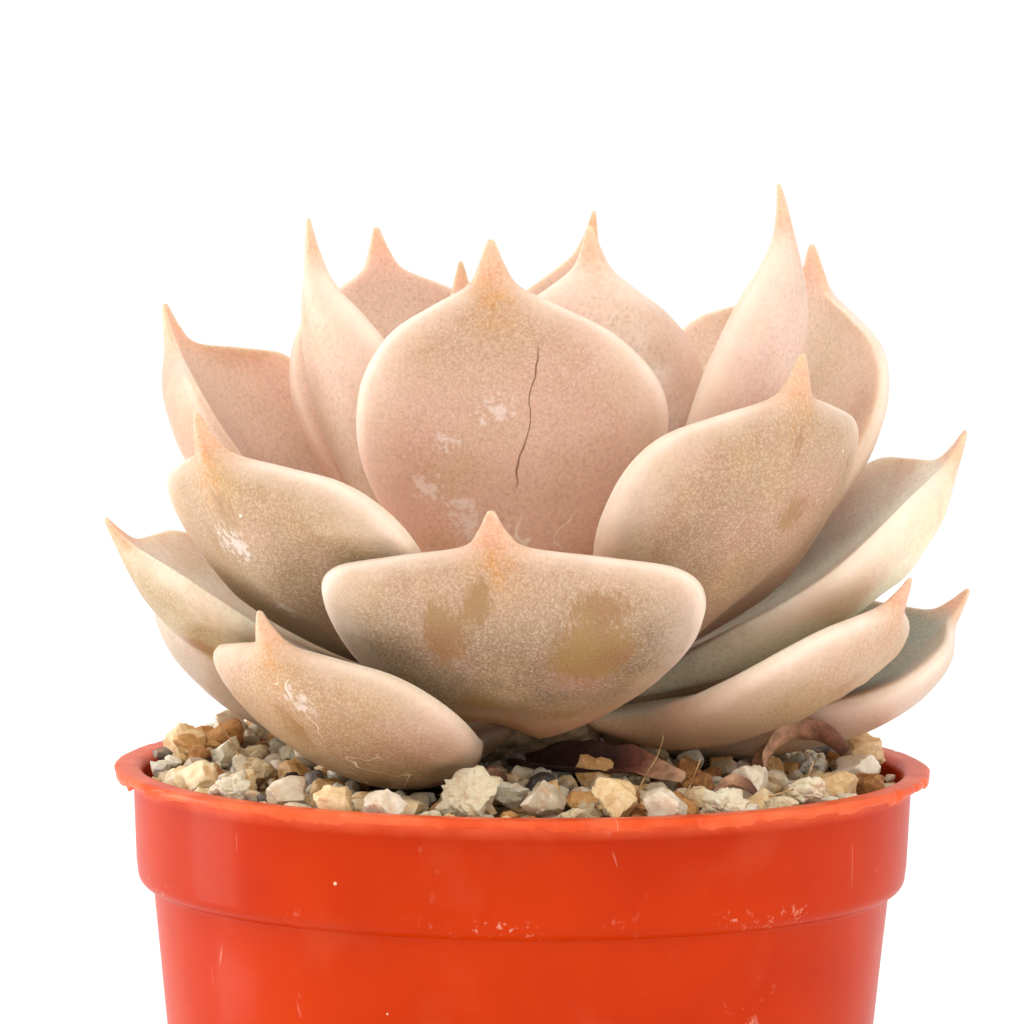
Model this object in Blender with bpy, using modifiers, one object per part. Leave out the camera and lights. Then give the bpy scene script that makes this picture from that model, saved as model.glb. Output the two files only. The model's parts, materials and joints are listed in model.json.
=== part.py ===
"""Potted rosette succulent: a thick-leaved plant in gritty soil, in a round moulded nursery pot.

The pot stands on z = 0 with its axis on the Z axis. The rosette's leaves leave a short domed stem in a
spiral, oldest and lowest first. Heights of the plant are given above the soil's edge at the pot's wall.
"""

import math
from collections import namedtuple

import bmesh
import bpy
from mathutils import Matrix, Vector, noise
from mathutils.bvhtree import BVHTree

MM = 0.001
GAP = 0.3 * MM  # clearance between two pieces that touch
LEAF_GAP = 0.4 * MM  # clearance between neighbouring leaves

# Pot
POT_HEIGHT = 80.0 * MM
RIM_RADIUS = 45.0 * MM
LIP_OVERHANG = 2.1 * MM  # how far the lip stands out from the band
LIP_THICKNESS = 1.0 * MM
WALL = 1.1 * MM
BAND_HEIGHT = 13.4 * MM
BAND_TAPER = 0.6 * MM  # how much narrower the band is at its foot
BAND_LEDGE = 1.8 * MM  # how far the band's foot stands out from the body
BAND_FOOT_ROUND = 1.9 * MM
BODY_TAPER = 6.5 * MM  # how much narrower the body is at the pot's foot
FOOT_ROUND = 1.5 * MM
FLOOR = 1.4 * MM
DRAIN_RADIUS = 3.5 * MM
DRAIN_INSET = 12.5 * MM  # from the pot's foot to the middle of a drain hole
DRAIN_COUNT = 6
POT_STEPS = 48
DRAIN_STEPS = 16

BAND_TOP_RADIUS = RIM_RADIUS - LIP_OVERHANG
BAND_FOOT_RADIUS = BAND_TOP_RADIUS - BAND_TAPER
BODY_TOP_RADIUS = BAND_FOOT_RADIUS - BAND_LEDGE
FOOT_RADIUS = BODY_TOP_RADIUS - BODY_TAPER
BAND_FOOT = POT_HEIGHT - BAND_HEIGHT

# Soil
SOIL_BELOW_RIM = 2.2 * MM
SOIL_CROWN = 2.6 * MM  # how much higher the soil is round the stem than at the wall
SOIL_LEVEL_SHARE = 0.25  # share of the radius round the stem where the crown is level
SOIL_ROUGH = 0.5 * MM
SOIL_LUMP = 6.0 * MM
SOIL_STEPS = 32
SOIL_RINGS = 6

SOIL_EDGE = POT_HEIGHT - SOIL_BELOW_RIM

# Stem
STEM_AT = Vector((1.5 * MM, 0.0, 0.0))
STEM_RADIUS = 7.0 * MM
STEM_SHOULDER = 7.2 * MM  # where the stem starts to narrow
STEM_TOP = 22.7 * MM
STEM_BURIED = 15.8 * MM
STEM_STEPS = 20
STEM_RINGS = 7

# Leaves
FIRST_LEAF_HEIGHT = 6.4 * MM
LAST_LEAF_HEIGHT = 20.8 * MM
BASE_DROP = 1.5 * MM  # a leaf clears the stem's width this far below its own middle
BASE_GAP = 0.6 * MM
LEAF_THICKNESS = 6.2 * MM
THINNEST_HALF = 0.12 * MM  # what a tightly pressed leaf keeps on each side of its middle sheet
UPPER_SHARE = 0.34  # share of the thickness on the leaf's upper side
LEAF_STATIONS = (0.0, 0.1, 0.2, 0.32, 0.44, 0.56, 0.67, 0.76, 0.82, 0.86, 0.90, 0.945, 1.0)
LEAF_RING = 12
SMALL_LEAF = 19.0 * MM  # leaves narrower than this have fewer faces
SMALL_LEAF_STATIONS = (0.0, 0.15, 0.32, 0.48, 0.62, 0.74, 0.83, 0.89, 1.0)
SMALL_LEAF_RING = 8
EDGE_ROUND = 0.8  # 1 is an ellipse in cross-section, less is fuller
FULL_WIDTH = 30.0 * MM  # a leaf this wide or wider has the full thickness

# Half-width along the leaf, as (share of the length, share of the half-width)
POINTED = (
    (0.00, 0.20),
    (0.14, 0.30),
    (0.32, 0.68),
    (0.48, 0.94),
    (0.60, 1.00),
    (0.70, 0.90),
    (0.79, 0.66),
    (0.85, 0.38),
    (0.895, 0.19),
    (0.94, 0.11),
    (1.00, 0.03),
)
BLUNT = (
    (0.00, 0.20),
    (0.14, 0.30),
    (0.32, 0.66),
    (0.50, 0.92),
    (0.64, 1.00),
    (0.75, 0.96),
    (0.82, 0.80),
    (0.865, 0.50),
    (0.90, 0.22),
    (0.94, 0.12),
    (1.00, 0.03),
)
# Thickness along the leaf, as (share of the length, share of the full thickness)
BODY = (
    (0.00, 0.45),
    (0.20, 0.78),
    (0.45, 1.00),
    (0.68, 0.88),
    (0.80, 0.66),
    (0.87, 0.46),
    (0.91, 0.34),
    (0.95, 0.24),
    (1.00, 0.06),
)

Leaf = namedtuple("Leaf", "azimuth tip_radius tip_height width bend cup roll bow blunt")
# azimuth: degrees round the stem, 0 towards -Y and 90 towards +X; tip_radius, tip_height, width: mm;
# bend: degrees that the midline turns upwards; cup: how far the edges rise; roll: degrees of twist;
# bow: mm that the middle of the leaf swings sideways; blunt: 0 for a pointed leaf, 1 for a flat-topped one
LEAVES = (
    Leaf(-116, 47.0, 25.2, 36.0, 82, 0.24, 5, 0.0, 0.7),
    Leaf(105, 50.0, 21.0, 36.0, 60, 0.24, 6, 0.0, 0.7),
    Leaf(-42, 44.5, 23.2, 33.0, 90, 0.18, -3, 3.0, 1.0),
    Leaf(-170, 46.0, 26.2, 36.0, 58, 0.22, 0, 0.0, 0.7),
    Leaf(65, 44.5, 25.7, 31.0, 62, 0.11, -2, 0.0, 0.5),
    Leaf(-82, 48.0, 30.2, 36.0, 44, 0.24, -6, 0.0, 0.7),
    Leaf(138, 46.0, 30.2, 36.0, 56, 0.24, 0, 0.0, 0.7),
    Leaf(-7, 42.0, 35.0, 39.5, 80, 0.16, 2, 1.9, 1.4),
    Leaf(-142, 46.0, 36.2, 36.0, 52, 0.24, 0, 0.0, 0.7),
    Leaf(88, 47.0, 40.2, 38.0, 50, 0.26, 6, 0.0, 0.9),
    Leaf(-55, 45.0, 43.7, 35.5, 62, 0.22, 6, 5.0, 1.0),
    Leaf(169, 43.0, 45.2, 36.0, 50, 0.24, 0, 0.0, 0.7),
    Leaf(46, 39.0, 50.7, 36.0, 61, 0.22, 0, -2.4, 1.0),
    Leaf(-108, 44.0, 52.2, 33.0, 50, 0.40, 0, 0.0, 1.4),
    Leaf(120, 35.0, 59.2, 41.0, 66, 0.24, 5, -1.0, 1.0),
    Leaf(-13, 24.0, 62.4, 34.0, 42, 0.16, 8, 1.8, 0.3),
    Leaf(-142, 30.0, 60.2, 34.5, 32, 0.18, 0, 0.0, 0.5),
    Leaf(72, 27.0, 67.7, 25.0, 52, 0.28, 0, 0.0, -0.2),
    Leaf(-70, 27.0, 63.5, 22.0, 27, 0.28, 6, 0.0, -0.5),
    Leaf(166, 25.0, 62.2, 20.0, 26, 0.34, 0, 2.0, 0.0),
    Leaf(22, 14.0, 63.2, 27.0, 24, 0.24, -4, 1.0, 0.0),
    Leaf(-145, 15.5, 57.2, 20.0, 20, 0.34, 0, 0.0, 0.0),
    Leaf(97, 12.0, 51.7, 17.0, 20, 0.34, 6, 0.0, 0.2),
    Leaf(-40, 9.5, 51.2, 15.0, 22, 0.34, 6, 0.0, 0.2),
    Leaf(-177, 9.0, 50.7, 14.0, 24, 0.34, 6, 0.0, 0.2),
    Leaf(45, 6.5, 49.7, 12.0, 26, 0.34, 6, 0.0, 0.2),
    Leaf(-92, 5.5, 48.7, 11.0, 26, 0.34, 6, 0.0, 0.2),
    Leaf(130, 4.5, 47.2, 9.5, 26, 0.34, 6, 0.0, 0.2),
    Leaf(-7, 3.5, 45.7, 8.0, 26, 0.34, 6, 0.0, 0.2),
    Leaf(-145, 3.0, 43.7, 7.0, 24, 0.34, 6, 0.0, 0.2),
    Leaf(77, 2.2, 41.2, 6.0, 22, 0.34, 6, 0.0, 0.2),
)
BEND_POWER = 1.5  # 1 is an even curve, more puts the bend nearer the tip

# Dead leaves on the soil: (x, y, height, half-width, tilt in degrees) along each, from the stem, in mm
DryLeaf = namedtuple("DryLeaf", "name curl path")
DRY_THICKNESS = 0.7 * MM
DRY_RING = 8
DRY_LEAVES = (
    DryLeaf(
        "dead_leaf_front",
        0.5,
        (
            (-2.5, -13.0, 3.8, 2.0, 0),
            (0.5, -14.2, 3.9, 3.0, 10),
            (4.5, -15.0, 4.0, 3.2, 20),
            (8.0, -15.5, 4.1, 2.8, 26),
            (11.0, -16.6, 4.2, 2.0, 30),
            (13.5, -18.0, 3.8, 1.3, 40),
            (16.0, -19.2, 3.4, 0.7, 50),
        ),
    ),
    DryLeaf(
        "dead_leaf_right",
        0.6,
        (
            (24.5, -10.0, 2.6, 0.9, 0),
            (25.1, -9.6, 4.6, 1.5, -14),
            (26.9, -9.0, 6.3, 2.0, -24),
            (29.5, -8.6, 6.9, 2.0, -30),
            (31.9, -8.4, 6.2, 1.6, -30),
            (33.5, -8.2, 4.8, 0.9, -20),
        ),
    ),
)

# Stones on the soil. azimuth: degrees round the pot, as for a leaf; inset: mm between it and the
# soil's edge; size: mm across; turn: degrees about its own middle; flat: its height as a share of its width
Stone = namedtuple("Stone", "azimuth inset size turn flat")
STONE_SQUARE = 0.40  # share of the size past which a stone's ends are worn flat
STONE_NARROW = 0.84
STONE_LUMPS = 1.4
STONES = (
    Stone(-9, 2.6, 7.8, 10, 0.74),
    Stone(4, 5.1, 5.8, 70, 0.70),
    Stone(16, 3.0, 5.6, 120, 0.75),
    Stone(23, 0.0, 5.0, 200, 0.80),
    Stone(34, 0.0, 5.2, 30, 0.75),
    Stone(51, 7.3, 5.0, 80, 0.80),
    Stone(52, 0.0, 4.8, 140, 0.75),
    Stone(84, 1.8, 5.2, 10, 0.80),
    Stone(102, 0.0, 5.6, 60, 0.80),
    Stone(-102, 0.1, 5.8, 120, 0.85),
    Stone(-54, 0.0, 4.8, 180, 0.75),
    Stone(-69, 1.4, 4.6, 220, 0.80),
    Stone(-42, 1.0, 5.0, 260, 0.75),
    Stone(-31, 0.0, 4.6, 300, 0.80),
    Stone(-22, 0.3, 4.8, 340, 0.75),
    Stone(-141, 0.0, 6.0, 20, 0.75),
    Stone(177, 1.5, 5.6, 100, 0.80),
    Stone(138, 0.0, 5.4, 160, 0.75),
)


def smooth(low, high, value):
    """0 below low, 1 above high, and an S curve between."""
    t = min(1.0, max(0.0, (value - low) / (high - low)))
    return t * t * (3 - 2 * t)


def along(points, t):
    """A smooth curve through (place, value) points, read at place t."""
    last = len(points) - 2
    i = next((k for k in range(last + 1) if t <= points[k + 1][0]), last)
    (t0, a), (t1, b) = points[i], points[i + 1]

    def slope(k):
        low, high = points[max(k - 1, 0)], points[min(k + 1, len(points) - 1)]
        return (high[1] - low[1]) / (high[0] - low[0])

    step = t1 - t0
    u = min(1.0, max(0.0, (t - t0) / step))
    start, end = slope(i) * step, slope(i + 1) * step
    return (
        a * (2 * u**3 - 3 * u**2 + 1)
        + start * (u**3 - 2 * u**2 + u)
        + b * (3 * u**2 - 2 * u**3)
        + end * (u**3 - u**2)
    )


def new_object(name, mesh, collection, material=None):
    obj = bpy.data.objects.new(name, mesh)
    collection.objects.link(obj)
    if material:
        obj.data.materials.append(material)
    return obj


def principled(name, colour, roughness):
    material = bpy.data.materials.new(name)
    material.use_nodes = True
    shader = material.node_tree.nodes["Principled BSDF"]
    shader.inputs["Base Color"].default_value = (*colour, 1.0)
    shader.inputs["Roughness"].default_value = roughness
    return material


def turned(name, profile, steps, collection, material=None):
    """A solid of revolution about Z. The profile, in (radius, height), starts and ends on the axis."""
    mesh = bpy.data.meshes.new(name)
    edges = [(i, i + 1) for i in range(len(profile) - 1)]
    mesh.from_pydata([(r, 0.0, z) for r, z in profile], edges, [])
    obj = new_object(name, mesh, collection, material)
    screw = obj.modifiers.new("Turn", "SCREW")
    screw.steps = steps
    screw.render_steps = steps
    screw.use_merge_vertices = True
    screw.merge_threshold = 0.00001
    screw.use_smooth_shade = True
    return obj


def applied(obj):
    """Turns an object's modifiers into plain mesh."""
    graph = bpy.context.evaluated_depsgraph_get()
    bpy.context.view_layer.update()
    mesh = bpy.data.meshes.new_from_object(obj.evaluated_get(graph))
    obj.modifiers.clear()
    obj.data = mesh
    return obj


def cut_round_hole(obj, name, radius, depth, steps, place, helpers):
    """Cuts a round upright hole, with a cylinder that is left in the scene as a helper."""
    mesh = bpy.data.meshes.new(name)
    shape = bmesh.new()
    bmesh.ops.create_cone(shape, cap_ends=True, segments=steps, radius1=radius, radius2=radius, depth=depth)
    shape.to_mesh(mesh)
    shape.free()
    cutter = new_object(name, mesh, helpers)
    cutter.location = place
    cutter.hide_render = True
    cutter.display_type = "WIRE"
    boolean = obj.modifiers.new("Cut " + name, "BOOLEAN")
    boolean.operation = "DIFFERENCE"
    boolean.solver = "EXACT"
    boolean.object = cutter


def loft(name, rings, collection, material):
    """A closed solid through rings of points, with flat ends."""
    shape = bmesh.new()
    rows = [[shape.verts.new(p) for p in ring] for ring in rings]
    count = len(rings[0])
    for low, high in zip(rows, rows[1:]):
        for j in range(count):
            k = (j + 1) % count
            shape.faces.new((low[j], high[j], high[k], low[k]))
    shape.faces.new(rows[0])
    shape.faces.new(list(reversed(rows[-1])))
    bmesh.ops.recalc_face_normals(shape, faces=shape.faces)
    mesh = bpy.data.meshes.new(name)
    shape.to_mesh(mesh)
    shape.free()
    mesh.shade_smooth()
    return new_object(name, mesh, collection, material)


# ---- Pot -------------------------------------------------------------------------------------------


def arc(centre, radius, start, end, count):
    """Points on a quarter or other arc, angles in degrees."""
    angles = [math.radians(start + (end - start) * i / count) for i in range(count + 1)]
    return [(centre[0] + radius * math.cos(a), centre[1] + radius * math.sin(a)) for a in angles]


def body_radius(z):
    """Outer radius of the tapered body below the band."""
    return FOOT_RADIUS + BODY_TAPER * z / BAND_FOOT


def inner_radius(z):
    """Radius of the pot's inside at height z."""
    shelf = BAND_FOOT + WALL
    if z < shelf:
        return body_radius(z) - WALL
    t = smooth(0.0, BAND_FOOT_ROUND, z - shelf)
    rise = (z - shelf) / (POT_HEIGHT - shelf)
    band = BAND_FOOT_RADIUS + BAND_TAPER * rise
    return (body_radius(shelf) - WALL) * (1 - t) + (band - WALL) * t


def pot_profile():
    """From the middle of the inner floor, up the inside, over the lip and down the outside."""
    shelf = BAND_FOOT + WALL
    half_lip = LIP_THICKNESS / 2
    inside = [(0.0, FLOOR)]
    inside += [(body_radius(FLOOR) - WALL, FLOOR)]
    inside += [(inner_radius(shelf), shelf)]
    inside += [(inner_radius(shelf + BAND_FOOT_ROUND), shelf + BAND_FOOT_ROUND)]
    inside += [(BAND_TOP_RADIUS - WALL, POT_HEIGHT - LIP_THICKNESS)]
    lip = [(BAND_TOP_RADIUS - WALL / 2, POT_HEIGHT)]
    lip += arc((RIM_RADIUS - half_lip, POT_HEIGHT - half_lip), half_lip, 90, -90, 4)
    lip += [(BAND_TOP_RADIUS, POT_HEIGHT - LIP_THICKNESS)]
    round_centre = (BAND_FOOT_RADIUS - BAND_FOOT_ROUND, BAND_FOOT + BAND_FOOT_ROUND)
    band = arc(round_centre, BAND_FOOT_ROUND, 0, -75, 4)
    foot = [(BODY_TOP_RADIUS, BAND_FOOT)]
    foot += arc((FOOT_RADIUS - FOOT_ROUND, FOOT_ROUND), FOOT_ROUND, 0, -90, 3)
    foot += [(0.0, 0.0)]
    return inside + lip + band + foot


def make_pot(collection, helpers):
    plastic = principled("orange_plastic", (0.72, 0.09, 0.012), 0.35)
    pot = turned("pot", pot_profile(), POT_STEPS, collection, plastic)
    ring = FOOT_RADIUS - DRAIN_INSET
    for i in range(DRAIN_COUNT):
        angle = math.tau * (i + 0.5) / DRAIN_COUNT
        place = (ring * math.cos(angle), ring * math.sin(angle), 0.0)
        cut_round_hole(pot, f"drain_cutter_{i + 1}", DRAIN_RADIUS, 6 * FLOOR, DRAIN_STEPS, place, helpers)
    return pot


# ---- Soil and stem -----------------------------------------------------------------------------------


def soil_height(x, y):
    """Height of the soil's top above the pot's foot."""
    distance = math.hypot(x, y) / inner_radius(SOIL_EDGE)
    crown = SOIL_CROWN * (1 - smooth(SOIL_LEVEL_SHARE, 1.0, distance))
    bumps = SOIL_ROUGH * noise.noise(Vector((x, y, 0.0)) / SOIL_LUMP)
    return SOIL_EDGE + crown + bumps


def make_soil(collection, helpers):
    bottom = FLOOR + GAP
    shelf = BAND_FOOT + WALL
    wall_heights = (shelf + BAND_FOOT_ROUND + GAP, shelf - GAP, bottom)
    top_radius = inner_radius(SOIL_EDGE) - GAP
    profile = [(top_radius * i / SOIL_RINGS, SOIL_EDGE) for i in range(SOIL_RINGS + 1)]
    profile += [(inner_radius(z) - GAP, z) for z in wall_heights]
    profile += [(0.0, bottom)]
    grit = principled("grit_soil", (0.30, 0.22, 0.15), 0.95)
    soil = applied(turned("soil", profile, SOIL_STEPS, collection, grit))
    for vertex in soil.data.vertices:
        if vertex.co.z > SOIL_EDGE - GAP:
            vertex.co.z = soil_height(vertex.co.x, vertex.co.y)
    depth = 2 * (SOIL_BELOW_RIM + STEM_BURIED + GAP)
    place = STEM_AT + Vector((0.0, 0.0, POT_HEIGHT))
    cut_round_hole(soil, "stem_hole", STEM_RADIUS + 2 * GAP, depth, STEM_STEPS, place, helpers)
    return soil


def stem_radius(height):
    """Radius of the stem at a height above the soil's edge: a column with a domed top."""
    if height <= STEM_SHOULDER:
        return STEM_RADIUS
    t = min(1.0, (height - STEM_SHOULDER) / (STEM_TOP - STEM_SHOULDER))
    return STEM_RADIUS * math.sqrt(max(0.0, 1 - t * t))


def make_stem(collection):
    dome = STEM_TOP - STEM_SHOULDER
    heights = [STEM_TOP - dome * (i / STEM_RINGS) ** 1.6 for i in range(1, STEM_RINGS + 1)]
    profile = [(0.0, SOIL_EDGE + STEM_TOP)]
    profile += [(stem_radius(z), SOIL_EDGE + z) for z in heights]
    profile += [(STEM_RADIUS, SOIL_EDGE - STEM_BURIED), (0.0, SOIL_EDGE - STEM_BURIED)]
    bark = principled("stem_bark", (0.42, 0.33, 0.22), 0.8)
    stem = turned("stem", profile, STEM_STEPS, collection, bark)
    stem.location = STEM_AT
    return stem


# ---- Leaves ------------------------------------------------------------------------------------------


def leaf_height(index):
    """Height above the soil's edge where a leaf leaves the stem."""
    share = index / (len(LEAVES) - 1)
    return FIRST_LEAF_HEIGHT + (LAST_LEAF_HEIGHT - FIRST_LEAF_HEIGHT) * share


def leaf_midline(index, stations):
    """(point, upper normal, side) along the leaf's midline, at each share of its length."""
    leaf = LEAVES[index]
    azimuth = math.radians(leaf.azimuth)
    outward = Vector((math.sin(azimuth), -math.cos(azimuth), 0.0))
    side = Vector((math.cos(azimuth), math.sin(azimuth), 0.0))
    up = Vector((0.0, 0.0, 1.0))
    base_height = leaf_height(index)
    base_radius = stem_radius(base_height - BASE_DROP) + BASE_GAP
    bend = math.radians(leaf.bend)
    steps = 80
    run, climb, path = 0.0, 0.0, [(0.0, 0.0)]
    for i in range(steps):
        angle = bend * ((i + 0.5) / steps) ** BEND_POWER
        run += math.cos(angle) / steps
        climb += math.sin(angle) / steps
        path.append((run, climb))
    reach = leaf.tip_radius * MM - base_radius
    rise = leaf.tip_height * MM - base_height
    scale = math.hypot(reach, rise) / math.hypot(run, climb)
    start = math.atan2(rise, reach) - math.atan2(climb, run)
    ahead = (outward * math.cos(start) + up * math.sin(start)) * scale
    above = (up * math.cos(start) - outward * math.sin(start)) * scale
    origin = STEM_AT + outward * base_radius + up * (SOIL_EDGE + base_height)
    frames = []
    for t in stations:
        place = min(int(t * steps), steps - 1)
        part = t * steps - place
        run = path[place][0] * (1 - part) + path[place + 1][0] * part
        climb = path[place][1] * (1 - part) + path[place + 1][1] * part
        swing = leaf.bow * MM * math.sin(math.pi * t**1.5) ** 2
        point = origin + ahead * run + above * climb + side * swing
        angle = start + bend * t**BEND_POWER
        tangent = outward * math.cos(angle) + up * math.sin(angle)
        normal = up * math.cos(angle) - outward * math.sin(angle)
        twist = Matrix.Rotation(math.radians(leaf.roll) * smooth(0.0, 0.6, t), 3, tangent)
        frames.append((point, twist @ normal, twist @ side))
    return frames


def half_width(leaf, t):
    share = along(POINTED, t) * (1 - leaf.blunt) + along(BLUNT, t) * leaf.blunt
    return share * leaf.width / 2 * MM


def leaf_sheet_point(leaf, frame, t, across):
    """A point of the leaf's middle sheet. across runs from -1 to 1."""
    point, normal, side = frame
    half = half_width(leaf, t)
    lift = leaf.cup * half * smooth(-0.05, 0.35, t)
    return point + side * (across * half) + normal * (lift * across * across)


def leaf_sheets():
    """One BVH tree for each leaf's middle sheet, to find how much room its neighbours leave."""
    trees = []
    stations = LEAF_STATIONS
    strips = 8
    for index, leaf in enumerate(LEAVES):
        frames = leaf_midline(index, stations)
        points = [
            leaf_sheet_point(leaf, frame, t, 2 * j / strips - 1)
            for t, frame in zip(stations, frames)
            for j in range(strips + 1)
        ]
        width = strips + 1
        faces = [
            (i * width + j, i * width + j + 1, (i + 1) * width + j + 1, (i + 1) * width + j)
            for i in range(len(stations) - 1)
            for j in range(strips)
        ]
        trees.append(BVHTree.FromPolygons(points, faces))
    return trees


def stones_tree(stones):
    """A BVH tree of all the stones, to keep the lowest leaves off them."""
    points, faces = [], []
    for stone in stones:
        start = len(points)
        points += [v.co for v in stone.data.vertices]
        faces += [[start + v for v in face.vertices] for face in stone.data.polygons]
    return BVHTree.FromPolygons(points, faces)


def room(point, normal, upper, index, trees, stones, limit):
    """The free thickness on one side of a leaf's sheet, up to limit: down to the soil or a stone, or half
    way to the nearest neighbour."""
    sign = 1.0 if upper else -1.0
    if not upper:
        limit = min(limit, point.z - soil_height(point.x, point.y) - 2 * GAP)
        found = stones.find_nearest(point, limit + 3 * GAP)
        if found[0] is not None:
            limit = found[3] - 3 * GAP
    for other, tree in enumerate(trees):
        if other == index:
            continue
        found = tree.find_nearest(point, 2 * limit + LEAF_GAP)
        if found[0] is None:
            continue
        if (found[0] - point).dot(normal) * sign < -0.2 * found[3]:
            continue
        limit = min(limit, (found[3] - LEAF_GAP) / 2)
    return max(limit, THINNEST_HALF)


def leaf_rings(index, trees, stones, stations, ring):
    """The leaf's cross-sections, each a closed ring that starts at the right edge and goes over the top."""
    leaf = LEAVES[index]
    frames = leaf_midline(index, stations)
    full = LEAF_THICKNESS * min(1.0, (leaf.width * MM / FULL_WIDTH) ** 0.8)
    rings = []
    for t, frame in zip(stations, frames):
        thick = full * along(BODY, t)
        points = []
        for j in range(ring):
            angle = math.tau * j / ring
            across, rise = math.cos(angle), math.sin(angle)
            sheet = leaf_sheet_point(leaf, frame, t, across)
            share = UPPER_SHARE if rise >= 0 else 1 - UPPER_SHARE
            offset = thick * share * abs(rise) ** EDGE_ROUND
            if offset > 0:
                offset = room(sheet, frame[1], rise > 0, index, trees, stones, offset)
            points.append(sheet + frame[1] * (offset if rise >= 0 else -offset))
        rings.append(points)
    return rings


def make_leaf(index, trees, stones, collection, material):
    small = LEAVES[index].width * MM < SMALL_LEAF
    stations = SMALL_LEAF_STATIONS if small else LEAF_STATIONS
    ring = SMALL_LEAF_RING if small else LEAF_RING
    rings = leaf_rings(index, trees, stones, stations, ring)
    return loft(f"leaf_{index + 1:02d}", rings, collection, material)


# ---- Dead leaves and stones --------------------------------------------------------------------------


def make_dry_leaf(dry, collection, material):
    """A thin curled strip that follows the path."""
    ground = STEM_AT + Vector((0.0, 0.0, SOIL_EDGE))
    points = [ground + Vector(step[:3]) * MM for step in dry.path]
    rings = []
    for i, point in enumerate(points):
        ahead = (points[min(i + 1, len(points) - 1)] - points[max(i - 1, 0)]).normalized()
        side = ahead.cross(Vector((0.0, 0.0, 1.0))).normalized()
        width, tilt = dry.path[i][3:]
        side = Matrix.Rotation(math.radians(tilt), 3, ahead) @ side
        normal = side.cross(ahead)
        half = width * MM
        ring = []
        for j in range(DRY_RING):
            angle = math.tau * j / DRY_RING
            across = math.cos(angle)
            rise = dry.curl * half * across * across + DRY_THICKNESS / 2 * math.sin(angle)
            ring.append(point + side * (half * across) + normal * rise)
        rings.append(ring)
    return loft(dry.name, rings, collection, material)


def make_stone(index, collection, material):
    """A worn, blocky grain that stands just clear of the soil."""
    stone = STONES[index]
    name = f"stone_{index + 1:02d}"
    shape = bmesh.new()
    bmesh.ops.create_icosphere(shape, subdivisions=2, radius=0.5)
    turn = Matrix.Rotation(math.radians(stone.turn), 3, "Z")
    for vertex in shape.verts:
        direction = vertex.co.normalized()
        lump = noise.noise(direction * STONE_LUMPS + Vector((index * 3.7, 0.0, 0.0)))
        grown = direction * (0.46 + 0.16 * lump)
        if abs(grown.x) > STONE_SQUARE:
            grown.x = math.copysign(STONE_SQUARE + (abs(grown.x) - STONE_SQUARE) * 0.4, grown.x)
        grown.y *= STONE_NARROW
        grown.z *= stone.flat
        vertex.co = turn @ grown * stone.size * MM
    distance = inner_radius(SOIL_EDGE) - GAP - (stone.inset + stone.size / 2) * MM
    azimuth = math.radians(stone.azimuth)
    place = Vector((math.sin(azimuth), -math.cos(azimuth), 0.0)) * distance
    under = [v.co for v in shape.verts if v.co.z < 0]
    place.z = max(soil_height(place.x + co.x, place.y + co.y) - co.z for co in under) + 2 * GAP
    bmesh.ops.translate(shape, verts=shape.verts, vec=place)
    mesh = bpy.data.meshes.new(name)
    shape.to_mesh(mesh)
    shape.free()
    return new_object(name, mesh, collection, material)


def main():
    for obj in list(bpy.data.objects):
        bpy.data.objects.remove(obj)
    plant = bpy.data.collections.new("potted_succulent")
    helpers = bpy.data.collections.new("cutters")
    bpy.context.scene.collection.children.link(plant)
    bpy.context.scene.collection.children.link(helpers)
    helpers.hide_render = True
    make_pot(plant, helpers)
    make_soil(plant, helpers)
    make_stem(plant)
    grit = principled("quartz_grit", (0.62, 0.55, 0.44), 0.75)
    stones = stones_tree([make_stone(index, plant, grit) for index in range(len(STONES))])
    flesh = principled("leaf_flesh", (0.72, 0.50, 0.38), 0.5)
    trees = leaf_sheets()
    for index in range(len(LEAVES)):
        make_leaf(index, trees, stones, plant, flesh)
    husk = principled("dead_leaf", (0.12, 0.055, 0.04), 0.7)
    for dry in DRY_LEAVES:
        make_dry_leaf(dry, plant, husk)


main()
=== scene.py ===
"""A potted rosette succulent: its finished surfaces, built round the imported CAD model. Metres, +Z up."""

import json
import math
import random

import bmesh
import bpy
from mathutils import Matrix, Vector, noise
from mathutils.bvhtree import BVHTree

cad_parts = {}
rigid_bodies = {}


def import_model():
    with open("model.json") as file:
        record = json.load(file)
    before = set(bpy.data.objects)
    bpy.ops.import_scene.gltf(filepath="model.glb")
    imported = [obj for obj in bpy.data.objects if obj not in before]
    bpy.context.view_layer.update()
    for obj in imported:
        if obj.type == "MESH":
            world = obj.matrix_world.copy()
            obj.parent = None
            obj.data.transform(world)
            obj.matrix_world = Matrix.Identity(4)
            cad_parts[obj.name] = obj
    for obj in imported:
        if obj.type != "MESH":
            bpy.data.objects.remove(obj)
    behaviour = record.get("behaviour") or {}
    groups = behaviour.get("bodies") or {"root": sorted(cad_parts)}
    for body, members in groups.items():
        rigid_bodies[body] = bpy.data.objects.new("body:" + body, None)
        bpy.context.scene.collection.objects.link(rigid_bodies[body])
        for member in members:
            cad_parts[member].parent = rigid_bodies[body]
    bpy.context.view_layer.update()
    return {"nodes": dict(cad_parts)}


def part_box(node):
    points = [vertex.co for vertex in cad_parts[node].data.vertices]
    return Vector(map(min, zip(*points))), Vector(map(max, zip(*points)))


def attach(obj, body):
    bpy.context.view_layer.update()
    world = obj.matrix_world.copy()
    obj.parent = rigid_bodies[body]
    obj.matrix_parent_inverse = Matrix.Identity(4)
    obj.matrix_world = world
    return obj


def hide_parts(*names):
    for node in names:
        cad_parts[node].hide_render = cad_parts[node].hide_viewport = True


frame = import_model()
MM = 0.001


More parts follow.
